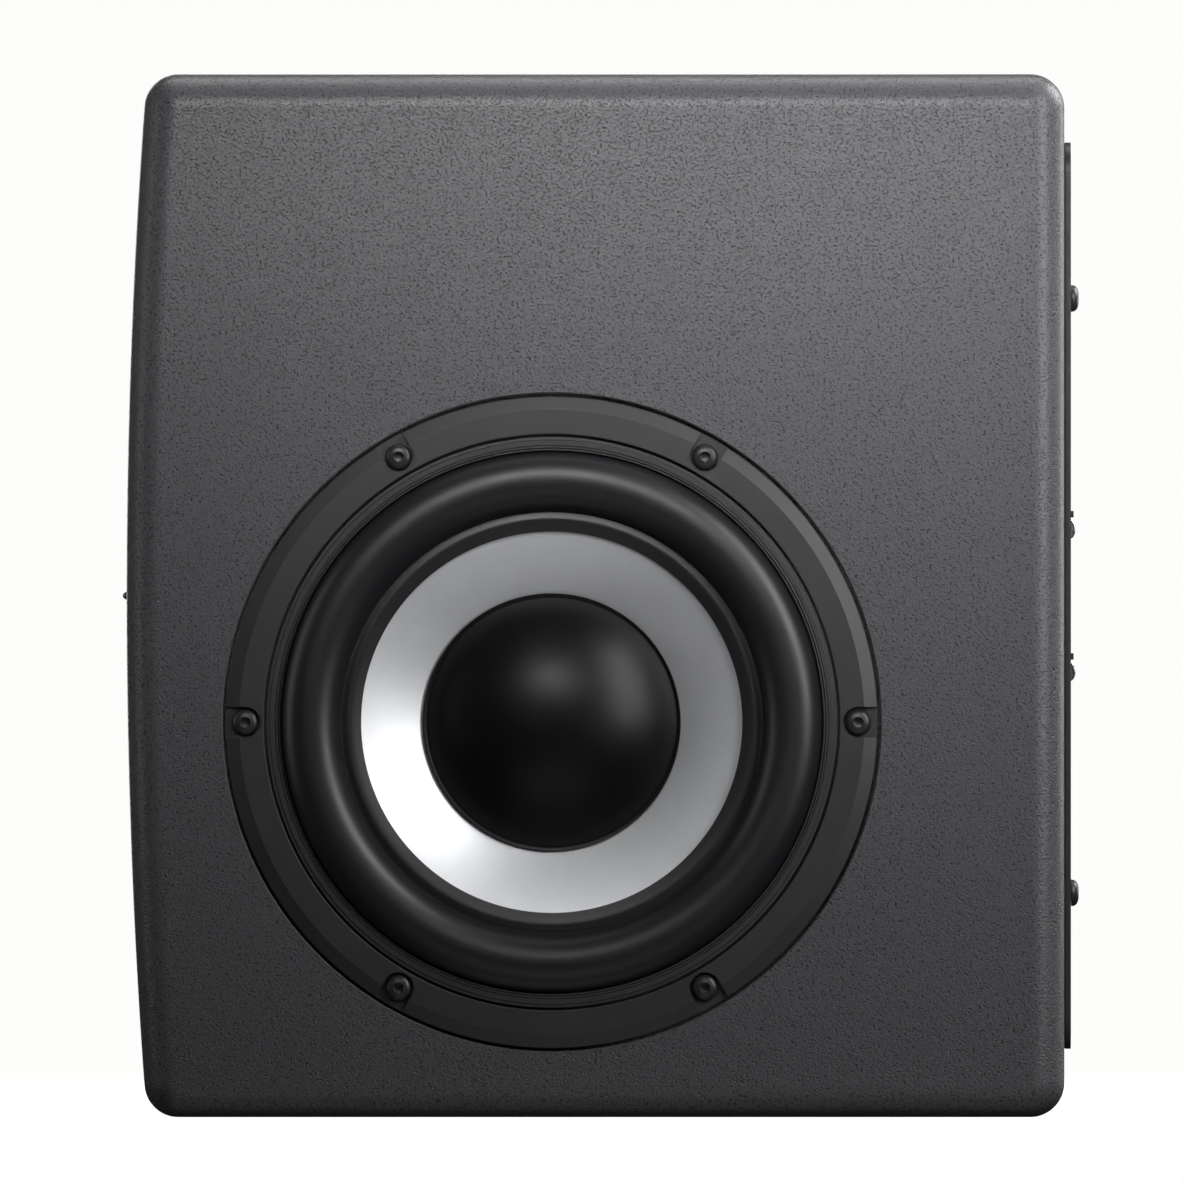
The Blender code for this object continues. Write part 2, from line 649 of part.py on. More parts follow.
def socket_outline(z, grown):
    """A round socket with a block on top that holds the release lever."""
    half = LATCH_SIZE[0] / 2 + 1.6 * MM + grown
    top = z + LATCH_RISE + LATCH_SIZE[1] / 2 + 2.7 * MM + grown
    radius = SOCKET_R + grown
    meet = atan2(sqrt(radius**2 - half**2), half)
    steps = 28
    sweep = [meet - (pi + 2 * meet) * i / steps for i in range(steps + 1)]
    arc = [(SOCKET_X + radius * cos(a), z + radius * sin(a)) for a in sweep]
    return arc + [(SOCKET_X - half, top), (SOCKET_X + half, top)]


def make_plate():
    outline = rectangle(0, MIDDLE_Z, PLATE_WIDTH, PLATE_HIGH_Z - PLATE_LOW_Z, PLATE_CORNER)
    plate = place("amp_plate", plate_prism(outline, PLATE_BACK_Y, PLATE_FACE_Y), PLATE_BLACK)
    low, high = PLATE_BACK_Y - 5 * MM, PLATE_FACE_Y + 5 * MM
    cutters = [plate_prism(socket_outline(z, GAP), low, high) for z in SOCKET_Z]
    cutters.append(plate_prism(inlet_outline(INLET_SIZE, 2 * GAP), low, high))
    switch = rectangle(*SWITCH, ROCKER_SIZE[0] + 3 * MM, ROCKER_SIZE[1] + 3.4 * MM)
    cutters.append(plate_prism(switch, low, high))
    for x in KNOB_X:
        cutters.append(copies(cylinder_mesh(KNOB_R + GAP, -6 * MM, 6 * MM), [on_plate(x, KNOB_Z)]))
    cutters.append(copies(cylinder_mesh(BUTTON_R + GAP, -6 * MM, 6 * MM, 16), [on_plate(BUTTON_X, KNOB_Z)]))
    cutters.append(plate_screw_holes())
    boolean(plate, cutters)
    for i, (x, z) in enumerate(plate_screw_places()):
        place(f"plate_screw_{i + 1}", SCREW_MESH.copy(), SCREW_BLACK, on_plate(x, z, PLATE_FACE_Y + GAP / 3))


def make_socket(index, z):
    """A latching three-contact audio socket, its face level with the plate."""
    low = PLATE_FACE_Y - SOCKET_DEPTH
    body = place(f"audio_socket_{index}", plate_prism(socket_outline(z, 0), low, PLATE_FACE_Y), SOCKET_BLACK)
    slot_low, slot_high = SOCKET_SLOT
    top = 5 * MM
    slot = turned_mesh(
        [(slot_low, top), (slot_high, top), (slot_high, -SLOT_DEPTH), (slot_low, -SLOT_DEPTH)], 28)
    contact = cylinder_mesh(CONTACT_R, -CONTACT_DEPTH, top, 10)
    outwards = Matrix.Translation((CONTACT_CIRCLE_R, 0, 0))
    turns = [Matrix.Rotation(radians(90 + 120 * k), 4, "Z") @ outwards for k in range(3)]
    width, height = LATCH_SIZE
    well = rectangle(SOCKET_X, z + LATCH_RISE, width + 2 * GAP, height + 2 * GAP)
    here = on_plate(SOCKET_X, z)
    boolean(body, [
        copies(slot, [here]), copies(contact, [here @ turn for turn in turns]),
        plate_prism(well, PLATE_FACE_Y - 7 * MM, PLATE_FACE_Y + 5 * MM)])
    tab_z = z + LATCH_RISE + height / 2 + 1.5 * MM
    tab = rectangle(SOCKET_X, tab_z, width, 1.9 * MM)
    boolean(body, [plate_prism(tab, PLATE_FACE_Y - 3 * MM, PLATE_FACE_Y + TAB_PROUD)], operation="UNION")


def make_latch(index, z):
    """The socket's release lever: a curved metal tongue that is pushed in."""
    width, height = LATCH_SIZE
    back = PLATE_FACE_Y - LATCH_DEPTH
    angles = [pi * i / 8 for i in range(9)]
    arc = [(PLATE_FACE_Y + LATCH_PROUD * sin(a), -height / 2 * cos(a)) for a in angles]
    mesh = prism_mesh([(back, -height / 2)] + arc + [(back, height / 2)], -width / 2, width / 2)
    mesh.transform(TO_WORLD)
    obj = place(f"release_lever_{index}", mesh, BRIGHT_METAL)
    obj.location = (MIDDLE_X + SOCKET_X, 0, z + LATCH_RISE)
    smooth(mesh)


def inlet_outline(size, grown=0.0, chamfer=4.0 * MM):
    """A mains inlet's outline: a rectangle with its two lower corners cut off."""
    a, b = size[0] / 2 + grown, size[1] / 2 + grown
    x, z = INLET
    return [(x - a, z + b), (x - a, z - b + chamfer), (x - a + chamfer, z - b),
            (x + a - chamfer, z - b), (x + a, z - b + chamfer), (x + a, z + b)]


def make_inlet():
    x, z = INLET
    body = plate_prism(inlet_outline(INLET_SIZE), PLATE_FACE_Y - INLET_DEPTH, PLATE_FACE_Y)
    inlet = place("mains_inlet", body, SOCKET_BLACK)
    low = PLATE_FACE_Y - INLET_CAVITY_DEPTH
    boolean(inlet, [plate_prism(inlet_outline(INLET_CAVITY), low, PLATE_FACE_Y + 5 * MM)])
    width, height = PIN_SIZE
    back, tip = PIN_DEPTHS
    slots = []
    for i, (dx, dz) in enumerate(PIN_PLACES):
        pin = plate_prism(rectangle(x + dx, z + dz, width, height), PLATE_FACE_Y - back, PLATE_FACE_Y - tip)
        place(f"inlet_pin_{i + 1}", pin, BRIGHT_METAL)
        grown = rectangle(x + dx, z + dz, width + 2 * GAP, height + 2 * GAP)
        slots.append(plate_prism(grown, PLATE_FACE_Y - back - 4 * MM, low + 7 * MM))
    boolean(inlet, slots)


def make_switch():
    x, z = SWITCH
    width, height = ROCKER_SIZE
    low, high = PLATE_FACE_Y - SWITCH_DEPTH, PLATE_FACE_Y
    outer = rectangle(x, z, width + 3 * MM - 2 * GAP, height + 3.4 * MM - 2 * GAP)
    bezel = place("switch_bezel", plate_prism(outer, low, high), SOCKET_BLACK)
    inner = rectangle(x, z, width + 2 * GAP, height + 1 * MM)
    boolean(bezel, [plate_prism(inner, low + 5 * MM, high + 5 * MM)])
    half, end, dip = height / 2, 0.8 * MM, -0.4 * MM
    side = [(end, half), (dip, 0), (end, -half), (-3 * MM, -half), (-6.5 * MM, -3 * MM),
            (-6.5 * MM, 3 * MM), (-3 * MM, half)]
    mesh = prism_mesh(side, -width / 2, width / 2)
    mesh.transform(TO_WORLD)
    rocker = place("power_rocker", mesh, SOCKET_BLACK)
    rocker.location = (MIDDLE_X + x, PLATE_FACE_Y - ROCKER_PIVOT, z)
    rocker.rotation_euler = (ROCKER_TILT, 0, 0)


def make_knob(name, x):
    """A flush rotary control with a screwdriver slot for its pointer."""
    chamfer = 0.8 * MM
    top, low = -GAP, -KNOB_DEPTH
    profile = [(0, top), (KNOB_R - chamfer, top), (KNOB_R, top - chamfer), (KNOB_R, low), (0, low)]
    knob = place(name, turned_mesh(profile, 28), SOCKET_BLACK, on_plate(x, KNOB_Z))
    smooth(knob.data)
    groove = box_mesh((-0.9 * MM, -10 * MM, -1.6 * MM), (0.9 * MM, 0.5 * MM, 3 * MM))
    boolean(knob, [groove], on_plate(x, KNOB_Z))


def make_controls():
    make_knob("level_knob", KNOB_X[0])
    make_knob("crossover_knob", KNOB_X[1])
    chamfer = 0.5 * MM
    low = -BUTTON_DEPTH
    profile = [(0, 0), (BUTTON_R - chamfer, 0), (BUTTON_R, -chamfer), (BUTTON_R, low), (0, low)]
    button = place("phase_button", turned_mesh(profile, 20), SOCKET_BLACK, on_plate(BUTTON_X, KNOB_Z))
    smooth(button.data)


def make_amplifier():
    """The board behind the plate, the block that carries its heat to the plate, and its largest parts."""
    board_low = (MIDDLE_X - BOARD_HALF_WIDTH, BOARD_Y, BOARD_Z[0])
    board_high = (MIDDLE_X + BOARD_HALF_WIDTH, BOARD_Y + CIRCUIT_BOARD, BOARD_Z[1])
    place("amp_board", box_mesh(board_low, board_high), BOARD_GREEN)
    front = BOARD_Y + CIRCUIT_BOARD + GAP
    heat_low = (MIDDLE_X - 62 * MM, front, 118 * MM)
    heat_high = (MIDDLE_X - 44 * MM, PLATE_BACK_Y - GAP, 208 * MM)
    place("heat_spreader", box_mesh(heat_low, heat_high, 0.8 * MM), ALUMINIUM)
    core_low = (MIDDLE_X - 30 * MM, front, 128 * MM)
    place("transformer", box_mesh(core_low, (MIDDLE_X + 12 * MM, front + 28 * MM, 172 * MM), 2 * MM), COPPER)
    chamfer = 0.5 * MM
    for i, z in enumerate(CAN_Z):
        profile = [(0, CAN_HEIGHT), (CAN_R - chamfer, CAN_HEIGHT), (CAN_R, CAN_HEIGHT - chamfer), (CAN_R, 0), (0, 0)]
        can = turned_mesh(profile, 24)
        place(f"capacitor_{i + 1}", can, CAN_BLACK, on_plate(-15 * MM, z, front))
        smooth(can)


def make_status_light():
    """A light's domed lens at the front's foremost line, with its small board on the baffle's back."""
    rim = 0.05 * MM
    dome = [(LENS_R * cos(a), -rim + LENS_PROUD * sin(a)) for a in (pi / 2 * i / 5 for i in range(5))]
    profile = [(0, -rim + LENS_PROUD)] + dome[::-1] + [(LENS_R, -LENS_DEPTH), (0, -LENS_DEPTH)]
    facing_front = Matrix.Rotation(radians(90), 4, "X")
    lens = place("status_lens", turned_mesh(profile, 20), LENS,
                 Matrix.Translation((MIDDLE_X, FRONT_Y, MIDDLE_Z)) @ facing_front)
    smooth(lens.data)
    low = (MIDDLE_X - 9 * MM, BAFFLE_BACK_Y + GAP, MIDDLE_Z - 7 * MM)
    high = (MIDDLE_X + 9 * MM, BAFFLE_BACK_Y + GAP + CIRCUIT_BOARD, MIDDLE_Z + 7 * MM)
    place("light_board", box_mesh(low, high), BOARD_GREEN)


def make_leads():
    """The driver's lead, from the amplifier board to the tag strip."""
    start = (MIDDLE_X + 66 * MM, BOARD_Y - GAP, LEAD_Z)
    strip_y = DRIVER_Y + STRIP_HIGH[0] + GAP
    end = (RIGHT_X + (STRIP_LOW[2] + STRIP_HIGH[2]) / 2, strip_y, DRIVER_Z)
    route = [start, (start[0], BOARD_Y - 18 * MM, LEAD_Z), (end[0], strip_y + 16 * MM, DRIVER_Z), end]
    wire("driver_lead", route, 0.9 * MM, LEAD_RED, 14)


clear_scene()
PARTS = new_collection("subwoofer")
CUTTERS = new_collection("cutters")
PAINT = material("textured_paint", (0.075, 0.076, 0.080), 0.55)
BARE_BOARD = material("bare_board", (0.32, 0.22, 0.13), 0.8)
CASTING = material("painted_casting", (0.03, 0.03, 0.032), 0.45)
RUBBER = material("rubber", (0.014, 0.014, 0.015), 0.4)
SILVER = material("silver_cone", (0.62, 0.63, 0.66), 0.33, 1.0)
CAP_BLACK = material("dust_cap_black", (0.010, 0.010, 0.011), 0.32)
FORMER = material("coil_former", (0.55, 0.38, 0.16), 0.5)
COPPER = material("copper", (0.80, 0.42, 0.22), 0.35, 1.0)
SPIDER = material("spider_cloth", (0.62, 0.50, 0.28), 0.9)
STEEL = material("plated_steel", (0.45, 0.45, 0.46), 0.4, 1.0)
FERRITE = material("ferrite", (0.035, 0.035, 0.038), 0.6)
FOAM = material("gasket_foam", (0.02, 0.02, 0.02), 0.95)
SCREW_BLACK = material("black_screw", (0.022, 0.022, 0.024), 0.4, 0.6)
PLATE_BLACK = material("plate_black", (0.030, 0.030, 0.032), 0.5, 0.3)
SOCKET_BLACK = material("socket_plastic", (0.018, 0.018, 0.02), 0.45)
BRIGHT_METAL = material("bright_metal", (0.72, 0.73, 0.75), 0.2, 1.0)
BOARD_GREEN = material("circuit_board", (0.02, 0.14, 0.06), 0.5)
ALUMINIUM = material("aluminium", (0.66, 0.67, 0.69), 0.4, 1.0)
CAN_BLACK = material("capacitor_sleeve", (0.02, 0.02, 0.03), 0.35)
LENS = material("lens", (0.05, 0.12, 0.09), 0.08)
LEAD_RED = material("lead_red", (0.45, 0.03, 0.03), 0.5)
DRIVER = Matrix.Translation((RIGHT_X, DRIVER_Y, DRIVER_Z)) @ TO_WORLD
AXIS = driver_axis()
SCREW_MESH = screw_mesh()

make_cabinet()
make_driver()
make_plate()
for number, height_z in enumerate(SOCKET_Z, start=1):
    make_socket(number, height_z)
    make_latch(number, height_z)
make_inlet()
make_switch()
make_controls()
make_amplifier()
make_status_light()
make_leads()
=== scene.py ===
"""The looks of a compact powered subwoofer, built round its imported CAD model.

What shows is made again here with fine shapes: one seamless painted cabinet, the driver's face, the
amplifier plate with its sockets and controls, the fasteners and the status light. What stays inside keeps
its CAD shape. Every surface has a procedural finish. Metres, +Z up, in the frame's own place.
"""

from math import acos, atan2, cos, pi, radians, sin, sqrt, tan

import bmesh
import bpy
from mathutils import Matrix, Vector
from mathutils.geometry import interpolate_bezier


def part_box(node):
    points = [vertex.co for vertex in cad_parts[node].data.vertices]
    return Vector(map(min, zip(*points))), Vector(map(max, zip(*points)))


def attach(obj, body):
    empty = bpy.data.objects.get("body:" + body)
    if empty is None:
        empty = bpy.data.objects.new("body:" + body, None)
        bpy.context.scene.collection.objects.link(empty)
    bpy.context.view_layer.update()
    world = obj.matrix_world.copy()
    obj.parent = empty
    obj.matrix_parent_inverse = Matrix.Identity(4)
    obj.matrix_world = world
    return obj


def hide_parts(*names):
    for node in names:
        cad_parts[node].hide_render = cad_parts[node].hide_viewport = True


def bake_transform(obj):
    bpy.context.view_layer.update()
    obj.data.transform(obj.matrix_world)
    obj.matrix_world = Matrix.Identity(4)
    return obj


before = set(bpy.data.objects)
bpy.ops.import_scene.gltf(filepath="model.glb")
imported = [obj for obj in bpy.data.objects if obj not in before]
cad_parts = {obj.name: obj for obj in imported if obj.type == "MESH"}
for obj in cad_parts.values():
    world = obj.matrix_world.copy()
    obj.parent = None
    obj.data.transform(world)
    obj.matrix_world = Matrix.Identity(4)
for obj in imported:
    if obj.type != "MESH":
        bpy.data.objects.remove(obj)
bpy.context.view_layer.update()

# --- Sizes, from the frame where it gives them ----------------------------------------------------------
MM = 0.001
GAP = 0.3 * MM
PAST = 5.0 * MM  # how far a cutter reaches past the surface that it opens
SIDE_LOW, SIDE_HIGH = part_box("right_side_panel")
RIGHT_X, REAR_Y, HEIGHT = SIDE_HIGH
FRONT_Y = SIDE_LOW.y
BOARD = RIGHT_X - SIDE_LOW.x
LEFT_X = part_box("left_side_panel")[0].x
MIDDLE_X = (LEFT_X + RIGHT_X) / 2
MIDDLE_Z = HEIGHT / 2
BAFFLE_BACK_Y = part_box("front_baffle")[1].y
BOW_RADIUS = 1938 * MM
CORNER_RADIUS = 9.8 * MM
EDGE_FILLET = 9.3 * MM
CORNER_REACH = 12 * MM
WINDOW_MARGIN = 12 * MM

# Driver, as radii from its axis and heights above the side's outer face
FLANGE_LOW, FLANGE_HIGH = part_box("woofer_frame")
DRIVER_Y = (FLANGE_LOW.y + FLANGE_HIGH.y) / 2
DRIVER_Z = (FLANGE_LOW.z + FLANGE_HIGH.z) / 2
FLANGE_R = (FLANGE_HIGH.y - FLANGE_LOW.y) / 2
FLANGE_FACE = FLANGE_HIGH.x - RIGHT_X
ROLL_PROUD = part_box("woofer_surround")[1].x - RIGHT_X
REBATE_R = 94.6 * MM
REBATE_DEPTH = 4.0 * MM
HOLE_R = 80.0 * MM
REBATE_BREAK = 0.35 * MM
BEVEL_R = 89.9 * MM
FLANGE_RIM = 0.2 * MM
FLANGE_BACK = -2.7 * MM
TRIM_SEAT_R = 82.8 * MM
TRIM_R = 82.1 * MM
SEAT_H = -1.4 * MM
WALL_TOP_R, WALL_TOP_H = 79.0 * MM, -6.5 * MM
WALL_LOW_R, WALL_LOW_H = 62.2 * MM, -29.4 * MM
WAIST_R = 54.4 * MM
BASE_R, BASE_H = 48.2 * MM, -48.5 * MM
MOTOR_HOLE_R = 30.0 * MM
ARM_GAP_UPPER, ARM_GAP_LOWER = 14.5 * MM, 14.0 * MM
ROLL_OUTER_R = 77.6 * MM
ROLL_INNER_R = 61.0 * MM
CONE_R = 58.6 * MM
CONE_NECK_R = 20.0 * MM
CAP_R = 37.1 * MM
CAP_RIM_R = 35.9 * MM
CAP_RISE = 13.5 * MM
SHEET = 0.6 * MM
CONE_WALL = 0.8 * MM
CONE_EDGE_H = -2.55 * MM
CONE_SLOPE = 0.3685
CONE_CURVE = 4.8
CONE_SLANT = 1.15  # a slanted wall's height over its thickness
SPIDER_H = -26.4 * MM
COIL_R = 19.3 * MM
SCREW_CIRCLE_R = 88.1 * MM
SCREW_HOLE_R = 2.3 * MM
POCKET_WIDTH = 8.9 * MM
POCKET_FLOOR = -0.6 * MM
DRIVER_SCREWS = 6

# Screws
HEAD_R = 3.8 * MM
HEAD_HEIGHT = 2.2 * MM
SHANK_R = 1.9 * MM
SHANK = 15.0 * MM
HEX_R = 1.5 * MM
HEX_DEPTH = 1.4 * MM
HEAD_SIDE = 0.35 * MM

# Amplifier plate
PLATE_LOW, PLATE_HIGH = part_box("amp_plate")
PLATE_BACK_Y, PLATE_FACE_Y = PLATE_LOW.y, PLATE_HIGH.y
PLATE_CORNER = 8.6 * MM
SOCKET_R = 11.6 * MM
SOCKET_SLOT_R = (7.7 * MM, 9.5 * MM)
SOCKET_DEPTH = 14 * MM
CONTACT_HOLE_R = 1.3 * MM
CONTACT_CIRCLE_R = 4.4 * MM
CONTACT_DEPTH = 9 * MM
LATCH_RISE = 13.7 * MM
LATCH_WELL = 7 * MM
TAB_HEIGHT = 1.9 * MM
INLET_CHAMFER = 4.0 * MM
INLET_WALL, INLET_WALL_Z = 1.6 * MM, 1.7 * MM
INLET_DEPTH = 17 * MM
ROCKER_WIDTH, ROCKER_HEIGHT = 12.0 * MM, 17.6 * MM
ROCKER_PIVOT = 1.9 * MM
ROCKER_TILT = radians(6)
KNOB_R = 7.6 * MM
KNOB_DEPTH = 13 * MM
POINTER_HALF = 0.8 * MM
TICKS = 11
TICK_STEP = radians(27)
TICK_R = 9.4 * MM
TICK_LONG, TICK_SHORT = 2.4 * MM, 1.6 * MM
BUTTON_R = 3.6 * MM
BUTTON_DEPTH = 14 * MM

TO_WORLD = Matrix(((0, 0, 1, 0), (1, 0, 0, 0), (0, 1, 0, 0), (0, 0, 0, 1)))  # flat (y, z) outlines
DRIVER = Matrix.Translation((RIGHT_X, DRIVER_Y, DRIVER_Z)) @ TO_WORLD
FACING_BACK = Matrix.Rotation(radians(-90), 4, "X")
FACING_FRONT = Matrix.Rotation(radians(90), 4, "X")


# --- Mesh tools -----------------------------------------------------------------------------------------
def link(obj):
    bpy.context.scene.collection.objects.link(obj)
    return obj


def baked(obj):
    """The object's evaluated shape as a mesh of its own; the object goes."""
    bpy.context.view_layer.update()
    evaluated = obj.evaluated_get(bpy.context.evaluated_depsgraph_get())
    mesh = bpy.data.meshes.new_from_object(evaluated)
    bpy.data.objects.remove(obj, do_unlink=True)
    mesh.materials.clear()
    for face in mesh.polygons:
        face.material_index = 0
    return mesh


def smooth(mesh, angle=30):
    mesh.shade_smooth()
    mesh.set_sharp_from_angle(angle=radians(angle))
    return mesh


def mesh_of(bm):
    bmesh.ops.recalc_face_normals(bm, faces=bm.faces)
    mesh = bpy.data.meshes.new("shape")
    bm.to_mesh(mesh)
    bm.free()
    return mesh


def joined(meshes):
    bm = bmesh.new()
    for mesh in meshes:
        bm.from_mesh(mesh)
        bpy.data.meshes.remove(mesh)
    return mesh_of(bm)


def moved(mesh, matrix):
    copy = mesh.copy()
    copy.transform(matrix)
    return copy


def cut(mesh, *cutters, operation="DIFFERENCE"):
    """The mesh with each cutter taken from it, one after the other."""
    blank = link(bpy.data.objects.new("blank", mesh))
    helpers = []
    for cutter in cutters:
        helper = link(bpy.data.objects.new("cutter", cutter))
        change = blank.modifiers.new("Cut", "BOOLEAN")
        change.operation = operation
        change.solver = "EXACT"
        change.object = helper
        helpers.append(helper)
    result = baked(blank)
    for helper in helpers:
        bpy.data.objects.remove(helper, do_unlink=True)
    return result


def edged(mesh, width, segments=3, angle=40):
    """The mesh with its sharp edges rounded."""
    blank = link(bpy.data.objects.new("blank", mesh))
    mesh.shade_smooth()
    bevel = blank.modifiers.new("Edges", "BEVEL")
    bevel.limit_method = "ANGLE"
    bevel.angle_limit = radians(angle)
    bevel.width = width
    bevel.segments = segments
    bevel.harden_normals = True
    return baked(blank)


def rounded(corners, steps=4, hold=0.1 * MM):
    """Corners (x, y, radius) as points: an arc at each, with a point close by to keep the straights flat."""
    points = []
    for i, (x, y, radius) in enumerate(corners):
        here = Vector((x, y))
        if not radius:
            points.append((x, y))
            continue
        before = (Vector(corners[i - 1][:2]) - here).normalized()
        after = (Vector(corners[(i + 1) % len(corners)][:2]) - here).normalized()
        half = acos(max(-1.0, min(1.0, before.dot(after)))) / 2
        reach = radius / tan(half)
        centre = here + (before + after).normalized() * radius / sin(half)
        first = here + before * reach - centre
        last = here + after * reach - centre
        start = atan2(first.y, first.x)
        turn = (atan2(last.y, last.x) - start + pi) % (2 * pi) - pi
        points.append(tuple(here + before * (reach + hold)))
        for k in range(steps + 1):
            angle = start + turn * k / steps
            points.append((centre.x + radius * cos(angle), centre.y + radius * sin(angle)))
        points.append(tuple(here + after * (reach + hold)))
    return points


def rectangle(x, y, width, height, radius=0.0, steps=8):
    a, b = width / 2, height / 2
    corners = [(x - a, y - b, radius), (x + a, y - b, radius), (x + a, y + b, radius), (x - a, y + b, radius)]
    return rounded(corners, steps)


def softened(line, rounds=2):
    """An open line with its corners cut, again and again, until they are curves."""
    points = [Vector(p) for p in line]
    for _ in range(rounds):
        inner = []
        for a, b in zip(points, points[1:]):
            inner += [a.lerp(b, 0.25), a.lerp(b, 0.75)]
        points = [points[0]] + inner + [points[-1]]
    return points


def walled(line, thickness):
    """The closed outline of a thin wall along a centre line of (radius, height) points."""
    points = [Vector(p) for p in line]
    sides = ([], [])
    for i, point in enumerate(points):
        along = (points[min(i + 1, len(points) - 1)] - points[max(i - 1, 0)]).normalized()
        normal = Vector((-along.y, along.x))
        for side, sign in zip(sides, (1, -1)):
            shifted = point + normal * sign * thickness / 2
            side.append((max(shifted.x, 0.0) if point.x else 0.0, shifted.y))
    return sides[0] + sides[1][::-1]


def turned_mesh(profile, steps=192):
    """A closed profile of (radius, height) points, turned round local Z."""
    bm = bmesh.new()
    rings = []
    for radius, height in profile:
        if radius < 1e-7:
            rings.append([bm.verts.new((0, 0, height))])
            continue
        angles = [2 * pi * k / steps for k in range(steps)]
        rings.append([bm.verts.new((radius * cos(a), radius * sin(a), height)) for a in angles])
    for a, b in zip(rings, rings[1:] + rings[:1]):
        if len(a) == 1 and len(b) == 1:
            continue
        for k in range(steps):
            n = (k + 1) % steps
            corners = [a[0]] if len(a) == 1 else [a[k], a[n]]
            corners += [b[0]] if len(b) == 1 else [b[n], b[k]]
            bm.faces.new(corners)
    return mesh_of(bm)


def prism_mesh(outline, low, high):
    """A flat outline of (x, y) points between two heights of local Z."""
    bm = bmesh.new()
    lower = [bm.verts.new((x, y, low)) for x, y in outline]
    upper = [bm.verts.new((x, y, high)) for x, y in outline]
    bm.faces.new(lower[::-1])
    bm.faces.new(upper)
    for k in range(len(outline)):
        n = (k + 1) % len(outline)
        bm.faces.new((lower[k], lower[n], upper[n], upper[k]))
    return mesh_of(bm)


def box_mesh(low, high):
    outline = [(low[0], low[1]), (high[0], low[1]), (high[0], high[1]), (low[0], high[1])]
    return prism_mesh(outline, low[2], high[2])


def rod_mesh(radius, low, high, steps=32):
    return turned_mesh([(0, high), (radius, high), (radius, low), (0, low)], steps)


def tube_mesh(route, radius, points, sides=4):
    """A round wire along a smooth curve with two handles in the middle of its route."""
    curve = bpy.data.curves.new("wire", "CURVE")
    curve.dimensions = "3D"
    curve.bevel_depth = radius
    curve.bevel_resolution = sides
    curve.use_fill_caps = True
    spline = curve.splines.new("POLY")
    places = interpolate_bezier(*(Vector(p) for p in route), points)
    spline.points.add(points - 1)
    for point, co in zip(spline.points, places):
        point.co = (*co, 1)
    mesh = baked(link(bpy.data.objects.new("wire", curve)))
    bm = bmesh.new()
    bm.from_mesh(mesh)
    bmesh.ops.remove_doubles(bm, verts=bm.verts, dist=0.002 * MM)
    return mesh_of(bm)


def piece(name, mesh, finish, body, slot, *replaced):
    """A shown piece in its place, riding on a body and standing for CAD nodes."""
    obj = link(bpy.data.objects.new(name, mesh))
    mesh.materials.append(finish)
    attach(obj, body)
    if replaced:
        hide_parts(*replaced)
    return obj


# --- Finishes -------------------------------------------------------------------------------------------
WIDE_GRAIN = 28
FINE_SHARE = 0.65
ROUGHNESS_SPREAD = 0.12


class Finish:
    """A Principled material whose colour, roughness and bump, where set, come from noise in object space."""

    def __init__(self, name, metallic=0.0, **sockets):
        self.material = bpy.data.materials.new(name)
        self.material.use_nodes = True
        self.nodes = self.material.node_tree.nodes
        self.links = self.material.node_tree.links
        self.shader = self.nodes["Principled BSDF"]
        self.shader.inputs["Metallic"].default_value = metallic
        for key, value in sockets.items():
            self.shader.inputs[key.replace("_", " ").title().replace("Ior", "IOR")].default_value = value
        self.space = self.nodes.new("ShaderNodeTexCoord").outputs["Object"]

    def stretched(self, scale):
        mapping = self.nodes.new("ShaderNodeMapping")
        mapping.inputs["Scale"].default_value = scale
        self.links.new(self.space, mapping.inputs["Vector"])
        return mapping.outputs["Vector"]

    def noise(self, size, detail=2.0, stretch=None):
        """Noise from 0 to 1 with features of about that size."""
        node = self.nodes.new("ShaderNodeTexNoise")
        node.inputs["Scale"].default_value = 1 / size
        node.inputs["Detail"].default_value = detail
        self.links.new(self.stretched(stretch) if stretch else self.space, node.inputs["Vector"])
        return node.outputs["Fac"]

    def math(self, operation, a, b):
        node = self.nodes.new("ShaderNodeMath")
        node.operation = operation
        for socket, value in zip(node.inputs, (a, b)):
            if isinstance(value, (int, float)):
                socket.default_value = value
            else:
                self.links.new(value, socket)
        return node.outputs["Value"]

    def spread(self, source, low, high, to_low=0.0, to_high=1.0):
        node = self.nodes.new("ShaderNodeMapRange")
        for name, value in (("From Min", low), ("From Max", high), ("To Min", to_low), ("To Max", to_high)):
            node.inputs[name].default_value = value
        self.links.new(source, node.inputs["Value"])
        return node.outputs["Result"]

    def colored(self, source, first, second):
        mix = self.nodes.new("ShaderNodeMix")
        mix.data_type = "RGBA"
        mix.inputs["A"].default_value = (*first, 1)
        mix.inputs["B"].default_value = (*second, 1)
        self.links.new(source, mix.inputs["Factor"])
        self.links.new(mix.outputs["Result"], self.shader.inputs["Base Color"])
        return self

    def rough(self, source, low, high):
        self.links.new(self.spread(source, 0.3, 0.7, low, high), self.shader.inputs["Roughness"])
        return self

    def bumped(self, height, depth):
        bump = self.nodes.new("ShaderNodeBump")
        bump.inputs["Distance"].default_value = depth
        bump.inputs["Strength"].default_value = 1.0
        self.links.new(height, bump.inputs["Height"])
        self.links.new(bump.outputs["Normal"], self.shader.inputs["Normal"])
        return self


def scaled(color, factor):
    return tuple(c * factor for c in color)


